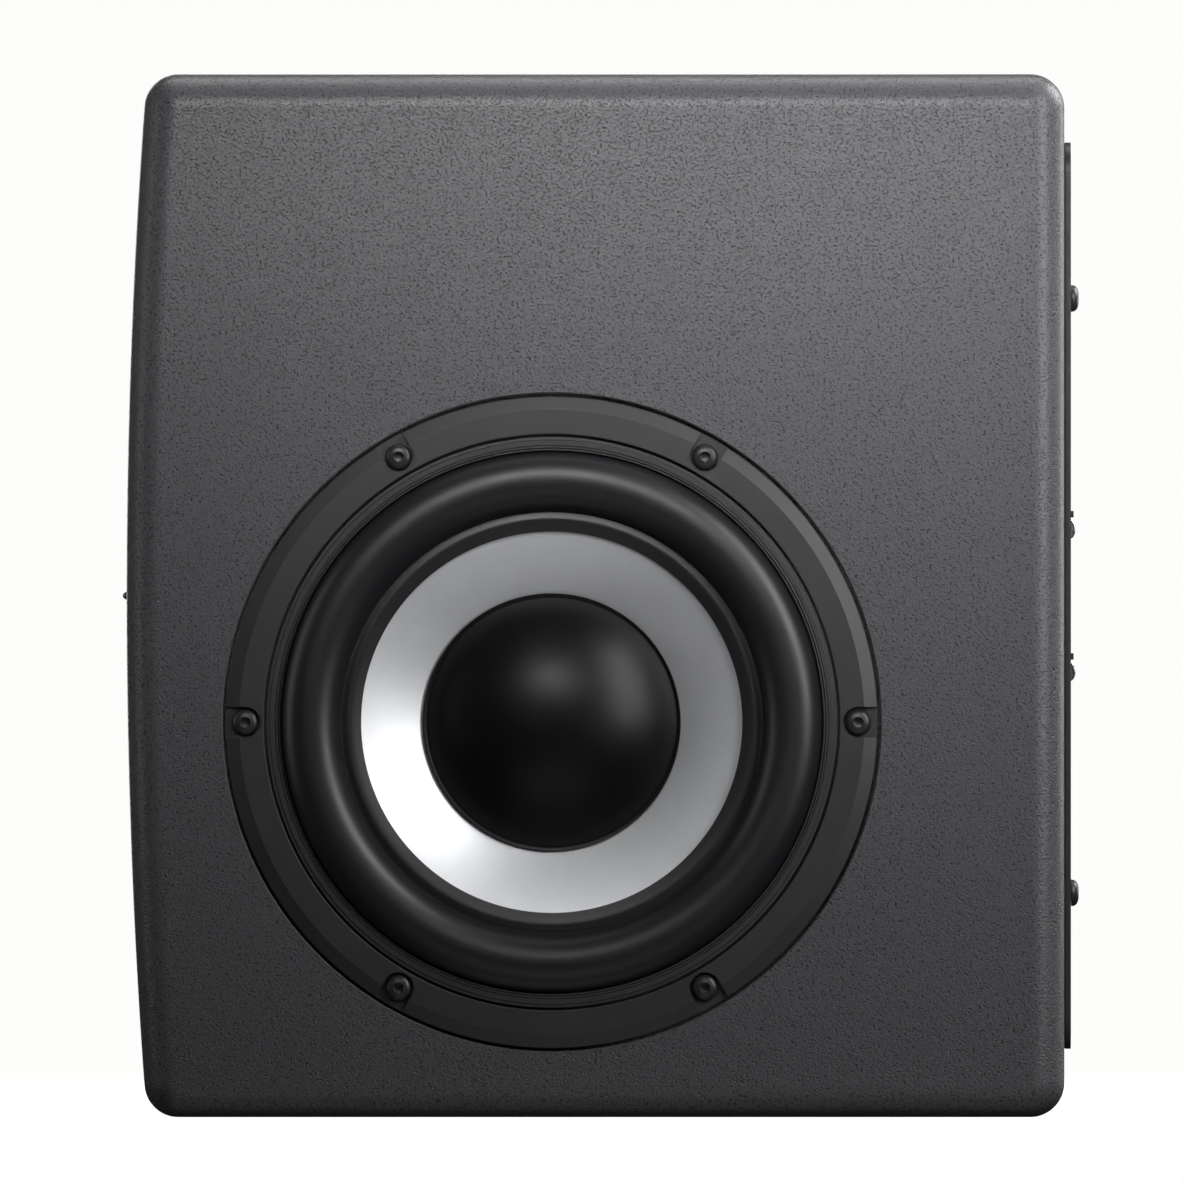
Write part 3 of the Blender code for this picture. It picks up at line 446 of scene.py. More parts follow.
def grained(name, color, roughness, grain, depth, contrast=0.12, metallic=0.0, stretch=None, **sockets):
    """A plain finish with a fine grain in its colour, roughness and surface."""
    made = Finish(name, metallic, **sockets)
    fine = made.noise(grain, 3.0, stretch)
    wide = made.noise(grain * WIDE_GRAIN, 2.0)
    fine_part = made.math("MULTIPLY", fine, FINE_SHARE)
    wide_part = made.math("MULTIPLY", wide, 1 - FINE_SHARE)
    both = made.math("ADD", fine_part, wide_part)
    made.colored(made.spread(both, 0.3, 0.7), scaled(color, 1 - contrast), scaled(color, 1 + contrast))
    made.rough(both, roughness * (1 - ROUGHNESS_SPREAD), roughness * (1 + ROUGHNESS_SPREAD))
    return made.bumped(fine, depth).material


def paint_finish():
    """Textured paint: a fine grain with many small pits, each a little longer than it is high; its colour
    follows the bump's height, with painted shade in the pits and a painted highlight on the raised grain.
    """
    made = Finish("textured_paint", specular_ior_level=PAINT_SPECULAR)
    grain = made.noise(0.7 * MM, 2.0)
    pitting = made.noise(0.7 * MM, 1.0, (1.0, 0.85, 1.15))
    pits = made.spread(pitting, 0.43, 0.34)
    height = made.math("SUBTRACT", made.math("MULTIPLY", grain, 0.8), made.math("MULTIPLY", pits, 0.5))
    # The colour follows the bump's height: painted shade darkens the pits and a painted highlight lightens
    # the raised grain.
    made.colored(made.spread(height, -0.2, 0.6), scaled(PAINT_COLOR, 0.32), scaled(PAINT_COLOR, 1.36))
    made.rough(grain, PAINT_ROUGHNESS - 0.05, PAINT_ROUGHNESS + 0.06)
    return made.bumped(height, 0.15 * MM).material


def lens_finish():
    """Dark green moulding with a clear coat, its colour slightly uneven."""
    made = Finish("lens", coat_weight=1.0, coat_roughness=0.03)
    made.colored(made.noise(0.8 * MM), (0.018, 0.040, 0.032), (0.035, 0.085, 0.065))
    made.rough(made.noise(0.3 * MM), 0.05, 0.09)
    return made.material


PAINT_COLOR = (0.0745, 0.0735, 0.0795)
PAINT_ROUGHNESS = 0.36
PAINT_SPECULAR = 0.5
PAINT = paint_finish()
CASTING = grained("painted_casting", (0.030, 0.030, 0.032), 0.46, 0.5 * MM, 0.02 * MM, 0.14)
RUBBER = grained("rubber", (0.011, 0.011, 0.013), 0.40, 0.35 * MM, 0.006 * MM, 0.10, specular_ior_level=0.55)
SILVER = grained("silver_cone", (0.78, 0.79, 0.81), 0.43, 0.32 * MM, 0.004 * MM, 0.05, metallic=0.62)
CAP_BLACK = grained("cap_black", (0.004, 0.004, 0.005), 0.36, 0.4 * MM, 0.006 * MM, 0.12,
                    specular_ior_level=0.25)
SCREW_BLACK = grained("black_screw", (0.022, 0.022, 0.024), 0.36, 0.3 * MM, 0.008 * MM, 0.15)
PLATE_BLACK = grained("plate_black", (0.022, 0.022, 0.024), 0.42, 0.45 * MM, 0.03 * MM, 0.15)
PLASTIC = grained("socket_plastic", (0.016, 0.016, 0.018), 0.38, 0.6 * MM, 0.012 * MM, 0.12)
BRIGHT = grained("bright_metal", (0.74, 0.75, 0.77), 0.16, 0.5 * MM, 0.003 * MM, 0.03, metallic=1.0)
GOLD = grained("contact_metal", (0.78, 0.58, 0.28), 0.22, 0.5 * MM, 0.003 * MM, 0.04, metallic=1.0)
INK = grained("printed_ink", (0.55, 0.55, 0.56), 0.5, 0.3 * MM, 0.004 * MM, 0.06)
LENS = lens_finish()
CLOTH = grained("spider_cloth", (0.62, 0.50, 0.28), 0.85, 0.5 * MM, 0.12 * MM, 0.25)
BRAID = grained("copper_braid", (0.80, 0.44, 0.24), 0.38, 0.3 * MM, 0.05 * MM, 0.2, metallic=1.0)
INSIDE = {
    "shelf_brace": grained("bare_board", (0.32, 0.22, 0.13), 0.8, 0.9 * MM, 0.08 * MM, 0.3),
    "woofer_gasket": grained("gasket_foam", (0.02, 0.02, 0.02), 0.95, 0.6 * MM, 0.2 * MM, 0.4),
    "coil_former": grained("former_film", (0.55, 0.38, 0.16), 0.45, 0.8 * MM, 0.01 * MM, 0.1),
    "voice_coil": grained("coil_wire", (0.72, 0.36, 0.18), 0.35, 0.3 * MM, 0.05 * MM, 0.2, 1.0, (12, 1, 1)),
    "top_plate": grained("plated_steel", (0.45, 0.45, 0.46), 0.4, 0.8 * MM, 0.02 * MM, 0.1, 1.0),
    "magnet": grained("ferrite", (0.035, 0.035, 0.038), 0.6, 0.7 * MM, 0.05 * MM, 0.2),
    "terminal_strip": grained("tag_board", (0.30, 0.20, 0.10), 0.6, 0.7 * MM, 0.03 * MM, 0.2),
    "amp_board": grained("circuit_board", (0.02, 0.14, 0.06), 0.45, 1.2 * MM, 0.03 * MM, 0.3),
    "heat_spreader": grained("aluminium", (0.66, 0.67, 0.69), 0.4, 0.5 * MM, 0.02 * MM, 0.08, 1.0, (1, 1, 9)),
    "transformer": grained("core_lacquer", (0.50, 0.30, 0.14), 0.4, 0.9 * MM, 0.03 * MM, 0.2),
    "capacitor_1": grained("capacitor_sleeve", (0.02, 0.02, 0.03), 0.35, 0.8 * MM, 0.01 * MM, 0.1),
    "driver_lead": grained("lead_insulation", (0.45, 0.03, 0.03), 0.45, 0.7 * MM, 0.01 * MM, 0.1),
}
INSIDE["pole_yoke"] = INSIDE["top_plate"]
INSIDE["capacitor_2"] = INSIDE["capacitor_1"]
INSIDE["light_board"] = INSIDE["amp_board"]


# --- Cabinet --------------------------------------------------------------------------------------------
def bow_y(z):
    return FRONT_Y + (z - MIDDLE_Z) ** 2 / (2 * BOW_RADIUS)


def side_outline(hold=1.0 * MM, steps=40):
    """The cabinet's outline as (y, z) points: straight at the back, bowed in front, with round corners."""
    levels = [HEIGHT * (1 - i / steps) for i in range(steps + 1)]
    bow = [(bow_y(z), z, CORNER_RADIUS if z in (levels[0], levels[-1]) else 0) for z in levels]
    clear = [bow[0]] + [p for p in bow[1:-1] if CORNER_REACH < p[1] < HEIGHT - CORNER_REACH] + [bow[-1]]
    return rounded([(REAR_Y, 0, CORNER_RADIUS), (REAR_Y, HEIGHT, CORNER_RADIUS)] + clear, 16, hold)


def inset(outline, depth):
    """The outline moved inwards by a depth, point by point."""
    points = [Vector(p) for p in outline]
    result = []
    for i, point in enumerate(points):
        before = (point - points[i - 1]).normalized()
        after = (points[(i + 1) % len(points)] - point).normalized()
        normal = Vector((-before.y - after.y, before.x + after.x)).normalized()
        result.append(point + normal * depth / max(0.2, normal.dot(Vector((-after.y, after.x)))))
    return result


def cabinet_blank(steps=14, hold=0.3 * MM):
    """The cabinet's outside as a solid, with a fillet round each side."""
    outline = side_outline()
    stations = [(0.0, EDGE_FILLET + 1 * MM)]
    for i in range(steps + 1):
        angle = pi / 2 * i / steps
        stations.append((EDGE_FILLET * (1 - cos(angle)), EDGE_FILLET * (1 - sin(angle))))
    stations.append((EDGE_FILLET + hold, 0.0))
    rings = [(LEFT_X + below, depth) for depth, below in reversed(stations)]
    rings += [(RIGHT_X - below, depth) for depth, below in stations]
    bm = bmesh.new()
    loops = []
    for x, depth in rings:
        loops.append([bm.verts.new((x, y, z)) for y, z in inset(outline, depth)])
    for a, b in zip(loops, loops[1:]):
        for k in range(len(a)):
            n = (k + 1) % len(a)
            bm.faces.new((a[k], a[n], b[n], b[k]))
    bm.faces.new(loops[0])
    bm.faces.new(loops[-1])
    return mesh_of(bm)


def driver_opening():
    """The rebate and hole for the driver, the rebate's edge slightly broken."""
    above, below = 2 * PAST, -BOARD - 2 * PAST
    return turned_mesh([
        (0, above), (REBATE_R + REBATE_BREAK + above, above), (REBATE_R, -REBATE_BREAK),
        (REBATE_R, -REBATE_DEPTH), (HOLE_R, -REBATE_DEPTH), (HOLE_R, below), (0, below)], 256)


def plate_prism(outline, low_y, high_y):
    """A flat outline of world (x, z) points between two depths along Y."""
    mesh = prism_mesh([(x, -z) for x, z in outline], low_y, high_y)
    mesh.transform(FACING_BACK)
    return mesh


def screw_holes(places, depth):
    hole = rod_mesh(SCREW_HOLE_R, -depth, 8 * MM)
    return joined([moved(hole, place) for place in places])


def make_cabinet():
    """One seamless shell for the six boards, hollow, with the openings for driver, plate and light."""
    back_inside_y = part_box("back_panel")[0].y
    inner_low = Vector((LEFT_X + BOARD, BAFFLE_BACK_Y, BOARD))
    inner_high = Vector((RIGHT_X - BOARD, back_inside_y, HEIGHT - BOARD))
    width = PLATE_HIGH.x - PLATE_LOW.x - 2 * WINDOW_MARGIN
    height = PLATE_HIGH.z - PLATE_LOW.z - 2 * WINDOW_MARGIN
    window = rectangle(MIDDLE_X, (PLATE_LOW.z + PLATE_HIGH.z) / 2, width, height, 6 * MM)
    lens_low, lens_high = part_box("status_lens")
    lens_place = Matrix.Translation((MIDDLE_X, FRONT_Y, MIDDLE_Z)) @ FACING_FRONT
    lens_hole = rod_mesh((lens_high.x - lens_low.x) / 2 + GAP / 2, -25 * MM, PAST)
    driver_places = [DRIVER @ turn for turn in round_the_driver(SCREW_CIRCLE_R)]
    mesh = cut(
        cabinet_blank(),
        box_mesh(inner_low, inner_high),
        moved(driver_opening(), DRIVER),
        plate_prism(window, back_inside_y - PAST, REAR_Y + PAST),
        moved(lens_hole, lens_place),
        screw_holes(driver_places, BOARD + PAST),
        screw_holes(plate_screw_places(), SHANK + 1 * MM),
    )
    piece("cabinet_shell", smooth(mesh, 9), PAINT, "cabinet", "cabinet_paint",
          "right_side_panel", "left_side_panel", "front_baffle", "back_panel", "top_panel", "bottom_panel")


# --- Driver ---------------------------------------------------------------------------------------------
def round_the_driver(radius):
    """The six screws' places round the driver's axis, at a radius."""
    return [Matrix.Rotation(2 * pi * i / DRIVER_SCREWS, 4, "Z") @ Matrix.Translation((radius, 0, 0))
            for i in range(DRIVER_SCREWS)]


def driver_piece(name, mesh, finish, body, slot, *replaced):
    mesh.transform(DRIVER)
    return piece(name, mesh, finish, body, slot, *replaced)


def make_basket():
    """The cast basket: a bevelled flange with U pockets, a windowed wall and a floor for the motor."""
    corners = [
        (BEVEL_R, FLANGE_FACE, 0.3 * MM), (FLANGE_R, FLANGE_RIM, 0.35 * MM),
        (FLANGE_R, FLANGE_BACK, 0.2 * MM), (WALL_TOP_R, FLANGE_BACK, 0), (WALL_TOP_R, WALL_TOP_H, 0),
        (WALL_LOW_R, WALL_LOW_H, 0), (WAIST_R, WALL_LOW_H, 0), (BASE_R, BASE_H, 0), (MOTOR_HOLE_R, BASE_H, 0),
        # back up along the inside
        (MOTOR_HOLE_R, -46 * MM, 0), (46 * MM, -46 * MM, 0), (52 * MM, -27 * MM, 0), (60 * MM, -27 * MM, 0),
        (76.5 * MM, -6 * MM, 0), (77.9 * MM, SEAT_H, 0), (TRIM_SEAT_R, SEAT_H, 0),
        (TRIM_SEAT_R, FLANGE_FACE, 0.3 * MM),
    ]
    turns = round_the_driver(0)
    half = POCKET_WIDTH / 2
    arc = [(half * cos(a), half * sin(a)) for a in (radians(90 + 180 * i / 24) for i in range(25))]
    pocket = prism_mesh(arc + [(12 * MM, -half), (12 * MM, half)], POCKET_FLOOR, 6 * MM)
    upper = box_mesh((50 * MM, -ARM_GAP_UPPER, -25 * MM), (90 * MM, ARM_GAP_UPPER, -9 * MM))
    lower = box_mesh((40 * MM, -ARM_GAP_LOWER, -44 * MM), (70 * MM, ARM_GAP_LOWER, -33 * MM))
    mesh = cut(
        turned_mesh(rounded(corners)),
        joined([moved(pocket, turn) for turn in round_the_driver(SCREW_CIRCLE_R)]),
        screw_holes(round_the_driver(SCREW_CIRCLE_R), 6 * MM),
        joined([moved(upper, turn) for turn in turns]),
        joined([moved(lower, turn) for turn in turns]),
    )
    driver_piece("driver_basket", smooth(mesh), CASTING, "cabinet", "frame_paint", "woofer_frame")


def make_trim():
    """The clamp ring over the surround's rim: a low step outside, a flat, and two fine beads inside."""
    low = SEAT_H + SHEET + 2 * GAP
    profile = rounded([
        (78.05 * MM, low, 0), (TRIM_R, low, 0), (TRIM_R, 1.1 * MM, 0.2 * MM),
        (81.3 * MM, 1.12 * MM, 0.06 * MM), (80.95 * MM, 1.42 * MM, 0.1 * MM),
        (79.7 * MM, 1.4 * MM, 0.06 * MM)], hold=0.02 * MM)
    beads = ((79.15 * MM, 1.15 * MM, 0.34 * MM), (78.42 * MM, 0.85 * MM, 0.32 * MM))
    for middle, height, bead in beads:
        profile += [(middle + bead * cos(a), height + bead * sin(a)) for a in (pi * i / 8 for i in range(9))]
    driver_piece("driver_trim", smooth(turned_mesh(profile, 384)), CASTING, "cabinet", "frame_paint",
                 "woofer_trim_ring")


def roll_line():
    """The surround's centre line: rim, half roll, valley and the land glued over the cone's edge."""
    rim_h = SEAT_H + GAP + SHEET / 2
    valley_h = -2.2 * MM
    middle = (ROLL_OUTER_R + ROLL_INNER_R) / 2
    half = (ROLL_OUTER_R - ROLL_INNER_R) / 2
    spare = 0.02 * MM
    rise = ROLL_PROUD - spare - SHEET / 2 - (rim_h + valley_h) / 2
    line = [(TRIM_R - 0.1 * MM, rim_h), (79 * MM, rim_h)]
    steps = 36
    for i in range(steps + 1):
        angle = pi * i / steps
        foot = rim_h + (valley_h - rim_h) * i / steps
        line.append((middle + half * cos(angle), foot + rise * sin(angle)))
    line += [(60.3 * MM, -2.2 * MM), (59.4 * MM, -1.95 * MM), (58.2 * MM, -1.7 * MM), (54.9 * MM, -2.85 * MM)]
    return softened(line)


def blended(obj):
    """Lays each vertex out at its distance from the driver's axis, takes the piece off its body, bakes its
    place into its mesh, then puts each vertex back.
    """
    vertices = obj.data.vertices
    places = [vert.co.copy() for vert in vertices]
    for vert, co in zip(vertices, places):
        vert.co = (Vector((co.y - DRIVER_Y, co.z - DRIVER_Z)).length, 0, 0)
    obj.parent = None
    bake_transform(obj)
    for vert, co in zip(vertices, places):
        vert.co = co


def make_surround():
    mesh = smooth(turned_mesh(walled(roll_line(), SHEET)), 60)
    obj = driver_piece("driver_surround", mesh, RUBBER, "cabinet", "surround_rubber", "woofer_surround")
    blended(obj)


def cone_h(radius):
    """Height of the cone's middle surface at a radius: steeper towards the neck."""
    inward = CONE_R - radius
    return CONE_EDGE_H - CONE_SLOPE * inward - CONE_CURVE * inward**2


def make_cone():
    steps = 32
    radii = [CONE_R - (CONE_R - CONE_NECK_R) * i / steps for i in range(steps + 1)]
    mesh = smooth(turned_mesh(walled([(r, cone_h(r)) for r in radii], CONE_WALL)))
    driver_piece("driver_cone", mesh, SILVER, "woofer_cone_assembly", "silver_cone", "woofer_cone")


def make_cap():
    """A domed cap with a narrow flat rim glued to the cone."""
    rim_h = cone_h(CAP_R) + (CONE_WALL / 2 + GAP) * CONE_SLANT + SHEET / 2
    sphere = (CAP_RIM_R**2 + CAP_RISE**2) / (2 * CAP_RISE)
    apex = rim_h + CAP_RISE + SHEET / 2
    dome = []
    steps = 48
    for i in range(steps + 1):
        radius = CAP_RIM_R * i / steps
        dome.append((radius, apex - sphere + sqrt(sphere**2 - radius**2)))
    foot = dome[-1][1]
    top = [(CAP_RIM_R + 0.12 * MM, foot - 0.12 * MM), (CAP_RIM_R + 0.3 * MM, foot - 0.02 * MM),
           (CAP_R - 0.15 * MM, foot + 0.18 * MM), (CAP_R, foot + 0.05 * MM), (CAP_R, foot - 0.45 * MM)]
    under = [(r, h - SHEET) for r, h in reversed(dome)]
    under[0] = (CAP_RIM_R, foot - SHEET - 0.05 * MM)
    driver_piece("driver_cap", smooth(turned_mesh(dome + top + under)), CAP_BLACK,
                 "woofer_cone_assembly", "cap_black", "dust_cap")


def make_suspension():
    """The spider's pressed rings and the two flexible leads."""
    first, last, folds, fold_height = 23 * MM, 50 * MM, 6, 1.0 * MM
    line = [(COIL_R + GAP, SPIDER_H), (22 * MM, SPIDER_H)]
    steps = folds * 12
    for i in range(steps + 1):
        wave = fold_height * cos(pi * folds * i / steps)
        line.append((first + (last - first) * i / steps, SPIDER_H + wave))
    line += [(51 * MM, SPIDER_H), (59.5 * MM, SPIDER_H)]
    spider = driver_piece("spider_cloth", smooth(turned_mesh(walled(line, SHEET), 96), 60), CLOTH, "cabinet",
                          "spider_cloth", "spider")
    blended(spider)
    for i, side in enumerate((-1, 1)):
        route = [
            (59.6 * MM, side * 5 * MM, -22.4 * MM), (50 * MM, side * 5 * MM, -23.6 * MM),
            (42 * MM, side * 5.5 * MM, -18 * MM), (34 * MM, side * 6 * MM, -18.2 * MM)]
        lead = driver_piece(f"lead_braid_{i + 1}", smooth(tube_mesh(route, 0.6 * MM, 32)), BRAID, "cabinet",
                            "copper", f"tinsel_lead_{i + 1}")
        blended(lead)


# --- Screws ---------------------------------------------------------------------------------------------
def screw_mesh():
    """An M4 button head screw with a hex socket, its head's underside at height 0."""
    crown = HEAD_R * 0.44
    lip = 0.22 * MM
    steps = 11
    head = [(0, HEAD_HEIGHT), (crown - lip, HEAD_HEIGHT), (crown, HEAD_HEIGHT - 0.05 * MM)]
    for i in range(1, steps):
        angle = i / steps * pi / 2
        head.append((crown + (HEAD_R - crown) * sin(angle),
                     HEAD_SIDE + (HEAD_HEIGHT - 0.12 * MM - HEAD_SIDE) * cos(angle)))
    head += [(HEAD_R, HEAD_SIDE), (HEAD_R, 0.1 * MM), (HEAD_R - 0.1 * MM, 0), (SHANK_R, 0), (SHANK_R, -SHANK),
             (0, -SHANK)]
    floor = HEAD_HEIGHT - HEX_DEPTH
    hexagon = turned_mesh([(0, 4 * MM), (HEX_R, 4 * MM), (HEX_R, floor), (0, floor - 0.5 * MM)], 6)
    mouth = turned_mesh([(0, 4 * MM), (HEX_R + 1.9 * MM, 4 * MM), (0.9 * MM, HEAD_HEIGHT - 0.75 * MM),
                         (0, HEAD_HEIGHT - 0.75 * MM)], 48)
    return smooth(cut(turned_mesh(head, 48), hexagon, mouth))


def make_screws():
    blank = screw_mesh()
    head_h = POCKET_FLOOR + GAP
    for i, place in enumerate(round_the_driver(SCREW_CIRCLE_R)):
        twist = Matrix.Rotation(radians(37 * i), 4, "Z") @ Matrix.Translation((0, 0, head_h))
        driver_piece(f"driver_bolt_{i + 1}", moved(blank, place @ twist), SCREW_BLACK, "cabinet",
                     "screw_black", f"woofer_screw_{i + 1}")
    for i, place in enumerate(plate_screw_places()):
        twist = Matrix.Rotation(radians(23 * i), 4, "Z")
        piece(f"plate_bolt_{i + 1}", moved(blank, place @ twist), SCREW_BLACK, "cabinet", "screw_black",
              f"plate_screw_{i + 1}")


# --- Amplifier plate ------------------------------------------------------------------------------------
def middle_of(node):
    low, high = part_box(node)
    return (low + high) / 2


def on_plate(x, z, y=None):
    """A frame at (x, z) on the plate's face, its Z pointing out of the back."""
    return Matrix.Translation((x, PLATE_FACE_Y if y is None else y, z)) @ FACING_BACK


def plate_screw_places():
    """Where the plate's screws sit, each with its head's underside on the plate."""
    places = []
    for i in range(4):
        middle = middle_of(f"plate_screw_{i + 1}")
        places.append(on_plate(middle.x, middle.z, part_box(f"plate_screw_{i + 1}")[1].y - HEAD_HEIGHT))
    return places


def socket_axis(index):
    lever = middle_of(f"release_lever_{index}")
    return lever.x, lever.z - LATCH_RISE


def latch_size(index):
    low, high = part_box(f"release_lever_{index}")
    return high.x - low.x, high.z - low.z


def socket_outline(index, grown):
    """A round socket with a block on top that holds the release lever."""
    x, z = socket_axis(index)
    width, height = latch_size(index)
    half = width / 2 + 1.6 * MM + grown
    top = z + LATCH_RISE + height / 2 + 2.7 * MM + grown
    radius = SOCKET_R + grown
    meet = atan2(sqrt(radius**2 - half**2), half)
    steps = 56
    sweep = [meet - (pi + 2 * meet) * i / steps for i in range(steps + 1)]
    arc = [(x + radius * cos(a), z + radius * sin(a)) for a in sweep]
    return arc + [(x - half, top), (x + half, top)]


def inlet_outline(low, high, chamfer=INLET_CHAMFER, grown=0.0):
    """A mains inlet's outline: a rectangle with its two lower corners cut off."""
    x0, x1, z0, z1 = low[0] - grown, high[0] + grown, low[1] - grown, high[1] + grown
    left = [(x0, z1), (x0, z0 + chamfer), (x0 + chamfer, z0)]
    return left + [(x1 - chamfer, z0), (x1, z0 + chamfer), (x1, z1)]


def make_plate():
    """The amplifier plate, open for its sockets, inlet, switch, controls and screws."""
    middle_z = (PLATE_LOW.z + PLATE_HIGH.z) / 2
    size = (PLATE_HIGH.x - PLATE_LOW.x, PLATE_HIGH.z - PLATE_LOW.z)
    blank = plate_prism(rectangle(MIDDLE_X, middle_z, *size, PLATE_CORNER, 16), PLATE_BACK_Y, PLATE_FACE_Y)
    low, high = PLATE_BACK_Y - PAST, PLATE_FACE_Y + PAST
    cutters = [plate_prism(socket_outline(i, GAP), low, high) for i in (1, 2)]
    inlet_low, inlet_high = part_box("mains_inlet")
    cutters.append(plate_prism(inlet_outline(inlet_low.xz, inlet_high.xz, grown=2 * GAP), low, high))
    switch_low, switch_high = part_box("switch_bezel")
    switch, around = (switch_low + switch_high) / 2, switch_high - switch_low
    cutters.append(plate_prism(
        rectangle(switch.x, switch.z, around.x + 2 * GAP, around.z + 2 * GAP, 0.4 * MM, 3), low, high))
    for node, radius in (("level_knob", KNOB_R), ("crossover_knob", KNOB_R), ("phase_button", BUTTON_R)):
        at = middle_of(node)
        cutters.append(moved(rod_mesh(radius + GAP, -6 * MM, 6 * MM, 64), on_plate(at.x, at.z)))
    cutters.append(screw_holes(plate_screw_places(), SHANK + 1 * MM))
    piece("rear_plate", edged(cut(blank, *cutters), 0.3 * MM), PLATE_BLACK, "cabinet", "plate_black",
          "amp_plate")


def make_socket(index):
    """A latching three-contact audio socket, its contacts and the metal tongue of its release lever."""
    x, z = socket_axis(index)
    body_low, body_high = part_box(f"audio_socket_{index}")
    width, height = latch_size(index)
    here = on_plate(x, z)
    body = plate_prism(socket_outline(index, 0), body_low.y, PLATE_FACE_Y)
    inner, outer = SOCKET_SLOT_R
    slot = turned_mesh([(inner, PAST), (outer, PAST), (outer, -SOCKET_DEPTH), (inner, -SOCKET_DEPTH)], 72)
    contact = rod_mesh(CONTACT_HOLE_R, -CONTACT_DEPTH, PAST)
    turns = [Matrix.Rotation(radians(90 + 120 * k), 4, "Z") @ Matrix.Translation((CONTACT_CIRCLE_R, 0, 0))
             for k in range(3)]
    well = rectangle(x, z + LATCH_RISE, width + 2 * GAP, height + 2 * GAP, 0.4 * MM, 3)
    tab_z = z + LATCH_RISE + height / 2 + 1.5 * MM
    tab = rectangle(x, tab_z, width, TAB_HEIGHT, 0.4 * MM, 3)
    mesh = cut(body, moved(slot, here), joined([moved(contact, here @ turn) for turn in turns]),
               plate_prism(well, PLATE_FACE_Y - LATCH_WELL, PLATE_FACE_Y + PAST))
    mesh = cut(mesh, plate_prism(tab, PLATE_FACE_Y - 3 * MM, body_high.y), operation="UNION")
    piece(f"socket_shell_{index}", edged(mesh, 0.2 * MM, 2), PLASTIC, "cabinet", "socket_plastic",
          f"audio_socket_{index}")
    sleeve = turned_mesh(rounded([
        (0.75 * MM, -0.8 * MM, 0.1 * MM), (1.15 * MM, -0.8 * MM, 0.1 * MM), (1.15 * MM, -8.5 * MM, 0),
        (0.75 * MM, -8.5 * MM, 0)], hold=0.02 * MM), 32)
    contacts = joined([moved(sleeve, here @ turn) for turn in turns])
    piece(f"socket_contacts_{index}", smooth(contacts), GOLD, "cabinet", "bright_metal")
    make_latch(index)


def make_latch(index):
    """The release lever's metal tongue, rounded where a finger presses it."""
    low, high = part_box(f"release_lever_{index}")
    x, z = (low.x + high.x) / 2, (low.z + high.z) / 2
    half, proud = (high.z - low.z) / 2, high.y - PLATE_FACE_Y
    arc = [(PLATE_FACE_Y + proud * sin(a), z - half * cos(a)) for a in (pi * i / 24 for i in range(25))]
    side = (high.x - low.x) / 2
    mesh = prism_mesh([(low.y, z - half)] + arc + [(low.y, z + half)], -side, side)
    mesh.transform(Matrix.Translation((x, 0, 0)) @ TO_WORLD)
    piece(f"latch_tongue_{index}", edged(mesh, 0.25 * MM), BRIGHT, f"release_lever_{index}", "bright_metal",
          f"release_lever_{index}")


def make_inlet():
    """The mains inlet: a shell with a deep well and three blades in slots of its floor."""
    low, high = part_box("mains_inlet")
    body = plate_prism(inlet_outline(low.xz, high.xz), low.y, PLATE_FACE_Y)
    inner_low = (low.x + INLET_WALL, low.z + INLET_WALL_Z)
    inner_high = (high.x - INLET_WALL, high.z - INLET_WALL_Z)
    well_low, well_high = PLATE_FACE_Y - INLET_DEPTH, PLATE_FACE_Y + PAST
    cavity = plate_prism(inlet_outline(inner_low, inner_high), well_low, well_high)
    slots = []
    for i in range(3):
        pin_low, pin_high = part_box(f"inlet_pin_{i + 1}")
        at, size = (pin_low + pin_high) / 2, pin_high - pin_low
        blade = plate_prism(rectangle(at.x, at.z, size.x, size.z, 0.3 * MM, 3), pin_low.y, pin_high.y)
        piece(f"inlet_blade_{i + 1}", edged(blade, 0.25 * MM), BRIGHT, "cabinet", "bright_metal",
              f"inlet_pin_{i + 1}")
        grown = rectangle(at.x, at.z, size.x + 2 * GAP, size.z + 2 * GAP)
        slots.append(plate_prism(grown, PLATE_FACE_Y - 30 * MM, PLATE_FACE_Y - 10 * MM))
    piece("inlet_shell", edged(cut(body, cavity, *slots), 0.25 * MM), PLASTIC, "cabinet", "socket_plastic",
          "mains_inlet")


def make_switch():
    """The power switch: a frame, and a rocker with a hollow face at its off tilt."""
    low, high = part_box("switch_bezel")
    at, size = (low + high) / 2, high - low
    outer = plate_prism(rectangle(at.x, at.z, size.x, size.z, 0.8 * MM, 4), low.y, high.y)
    inner = rectangle(at.x, at.z, ROCKER_WIDTH + 2 * GAP, ROCKER_HEIGHT + 1 * MM, 0.3 * MM, 3)
    well = plate_prism(inner, low.y + PAST, high.y + PAST)
    piece("rocker_frame", edged(cut(outer, well), 0.25 * MM), PLASTIC, "cabinet", "socket_plastic",
          "switch_bezel")
    half, end, dip = ROCKER_HEIGHT / 2, 0.8 * MM, -0.4 * MM
    sag = [(dip + (end - dip) * (z / half) ** 2, z) for z in (half * (1 - i / 8) for i in range(17))]
    side = sag + [(-3 * MM, -half), (-6.5 * MM, -3 * MM), (-6.5 * MM, 3 * MM), (-3 * MM, half)]
    mesh = prism_mesh(side, -ROCKER_WIDTH / 2, ROCKER_WIDTH / 2)
    pivot = Matrix.Translation((at.x, PLATE_FACE_Y - ROCKER_PIVOT, at.z))
    mesh.transform(pivot @ Matrix.Rotation(ROCKER_TILT, 4, "X") @ TO_WORLD)
    piece("rocker_cap", edged(mesh, 0.3 * MM), PLASTIC, "power_rocker", "socket_plastic", "power_rocker")


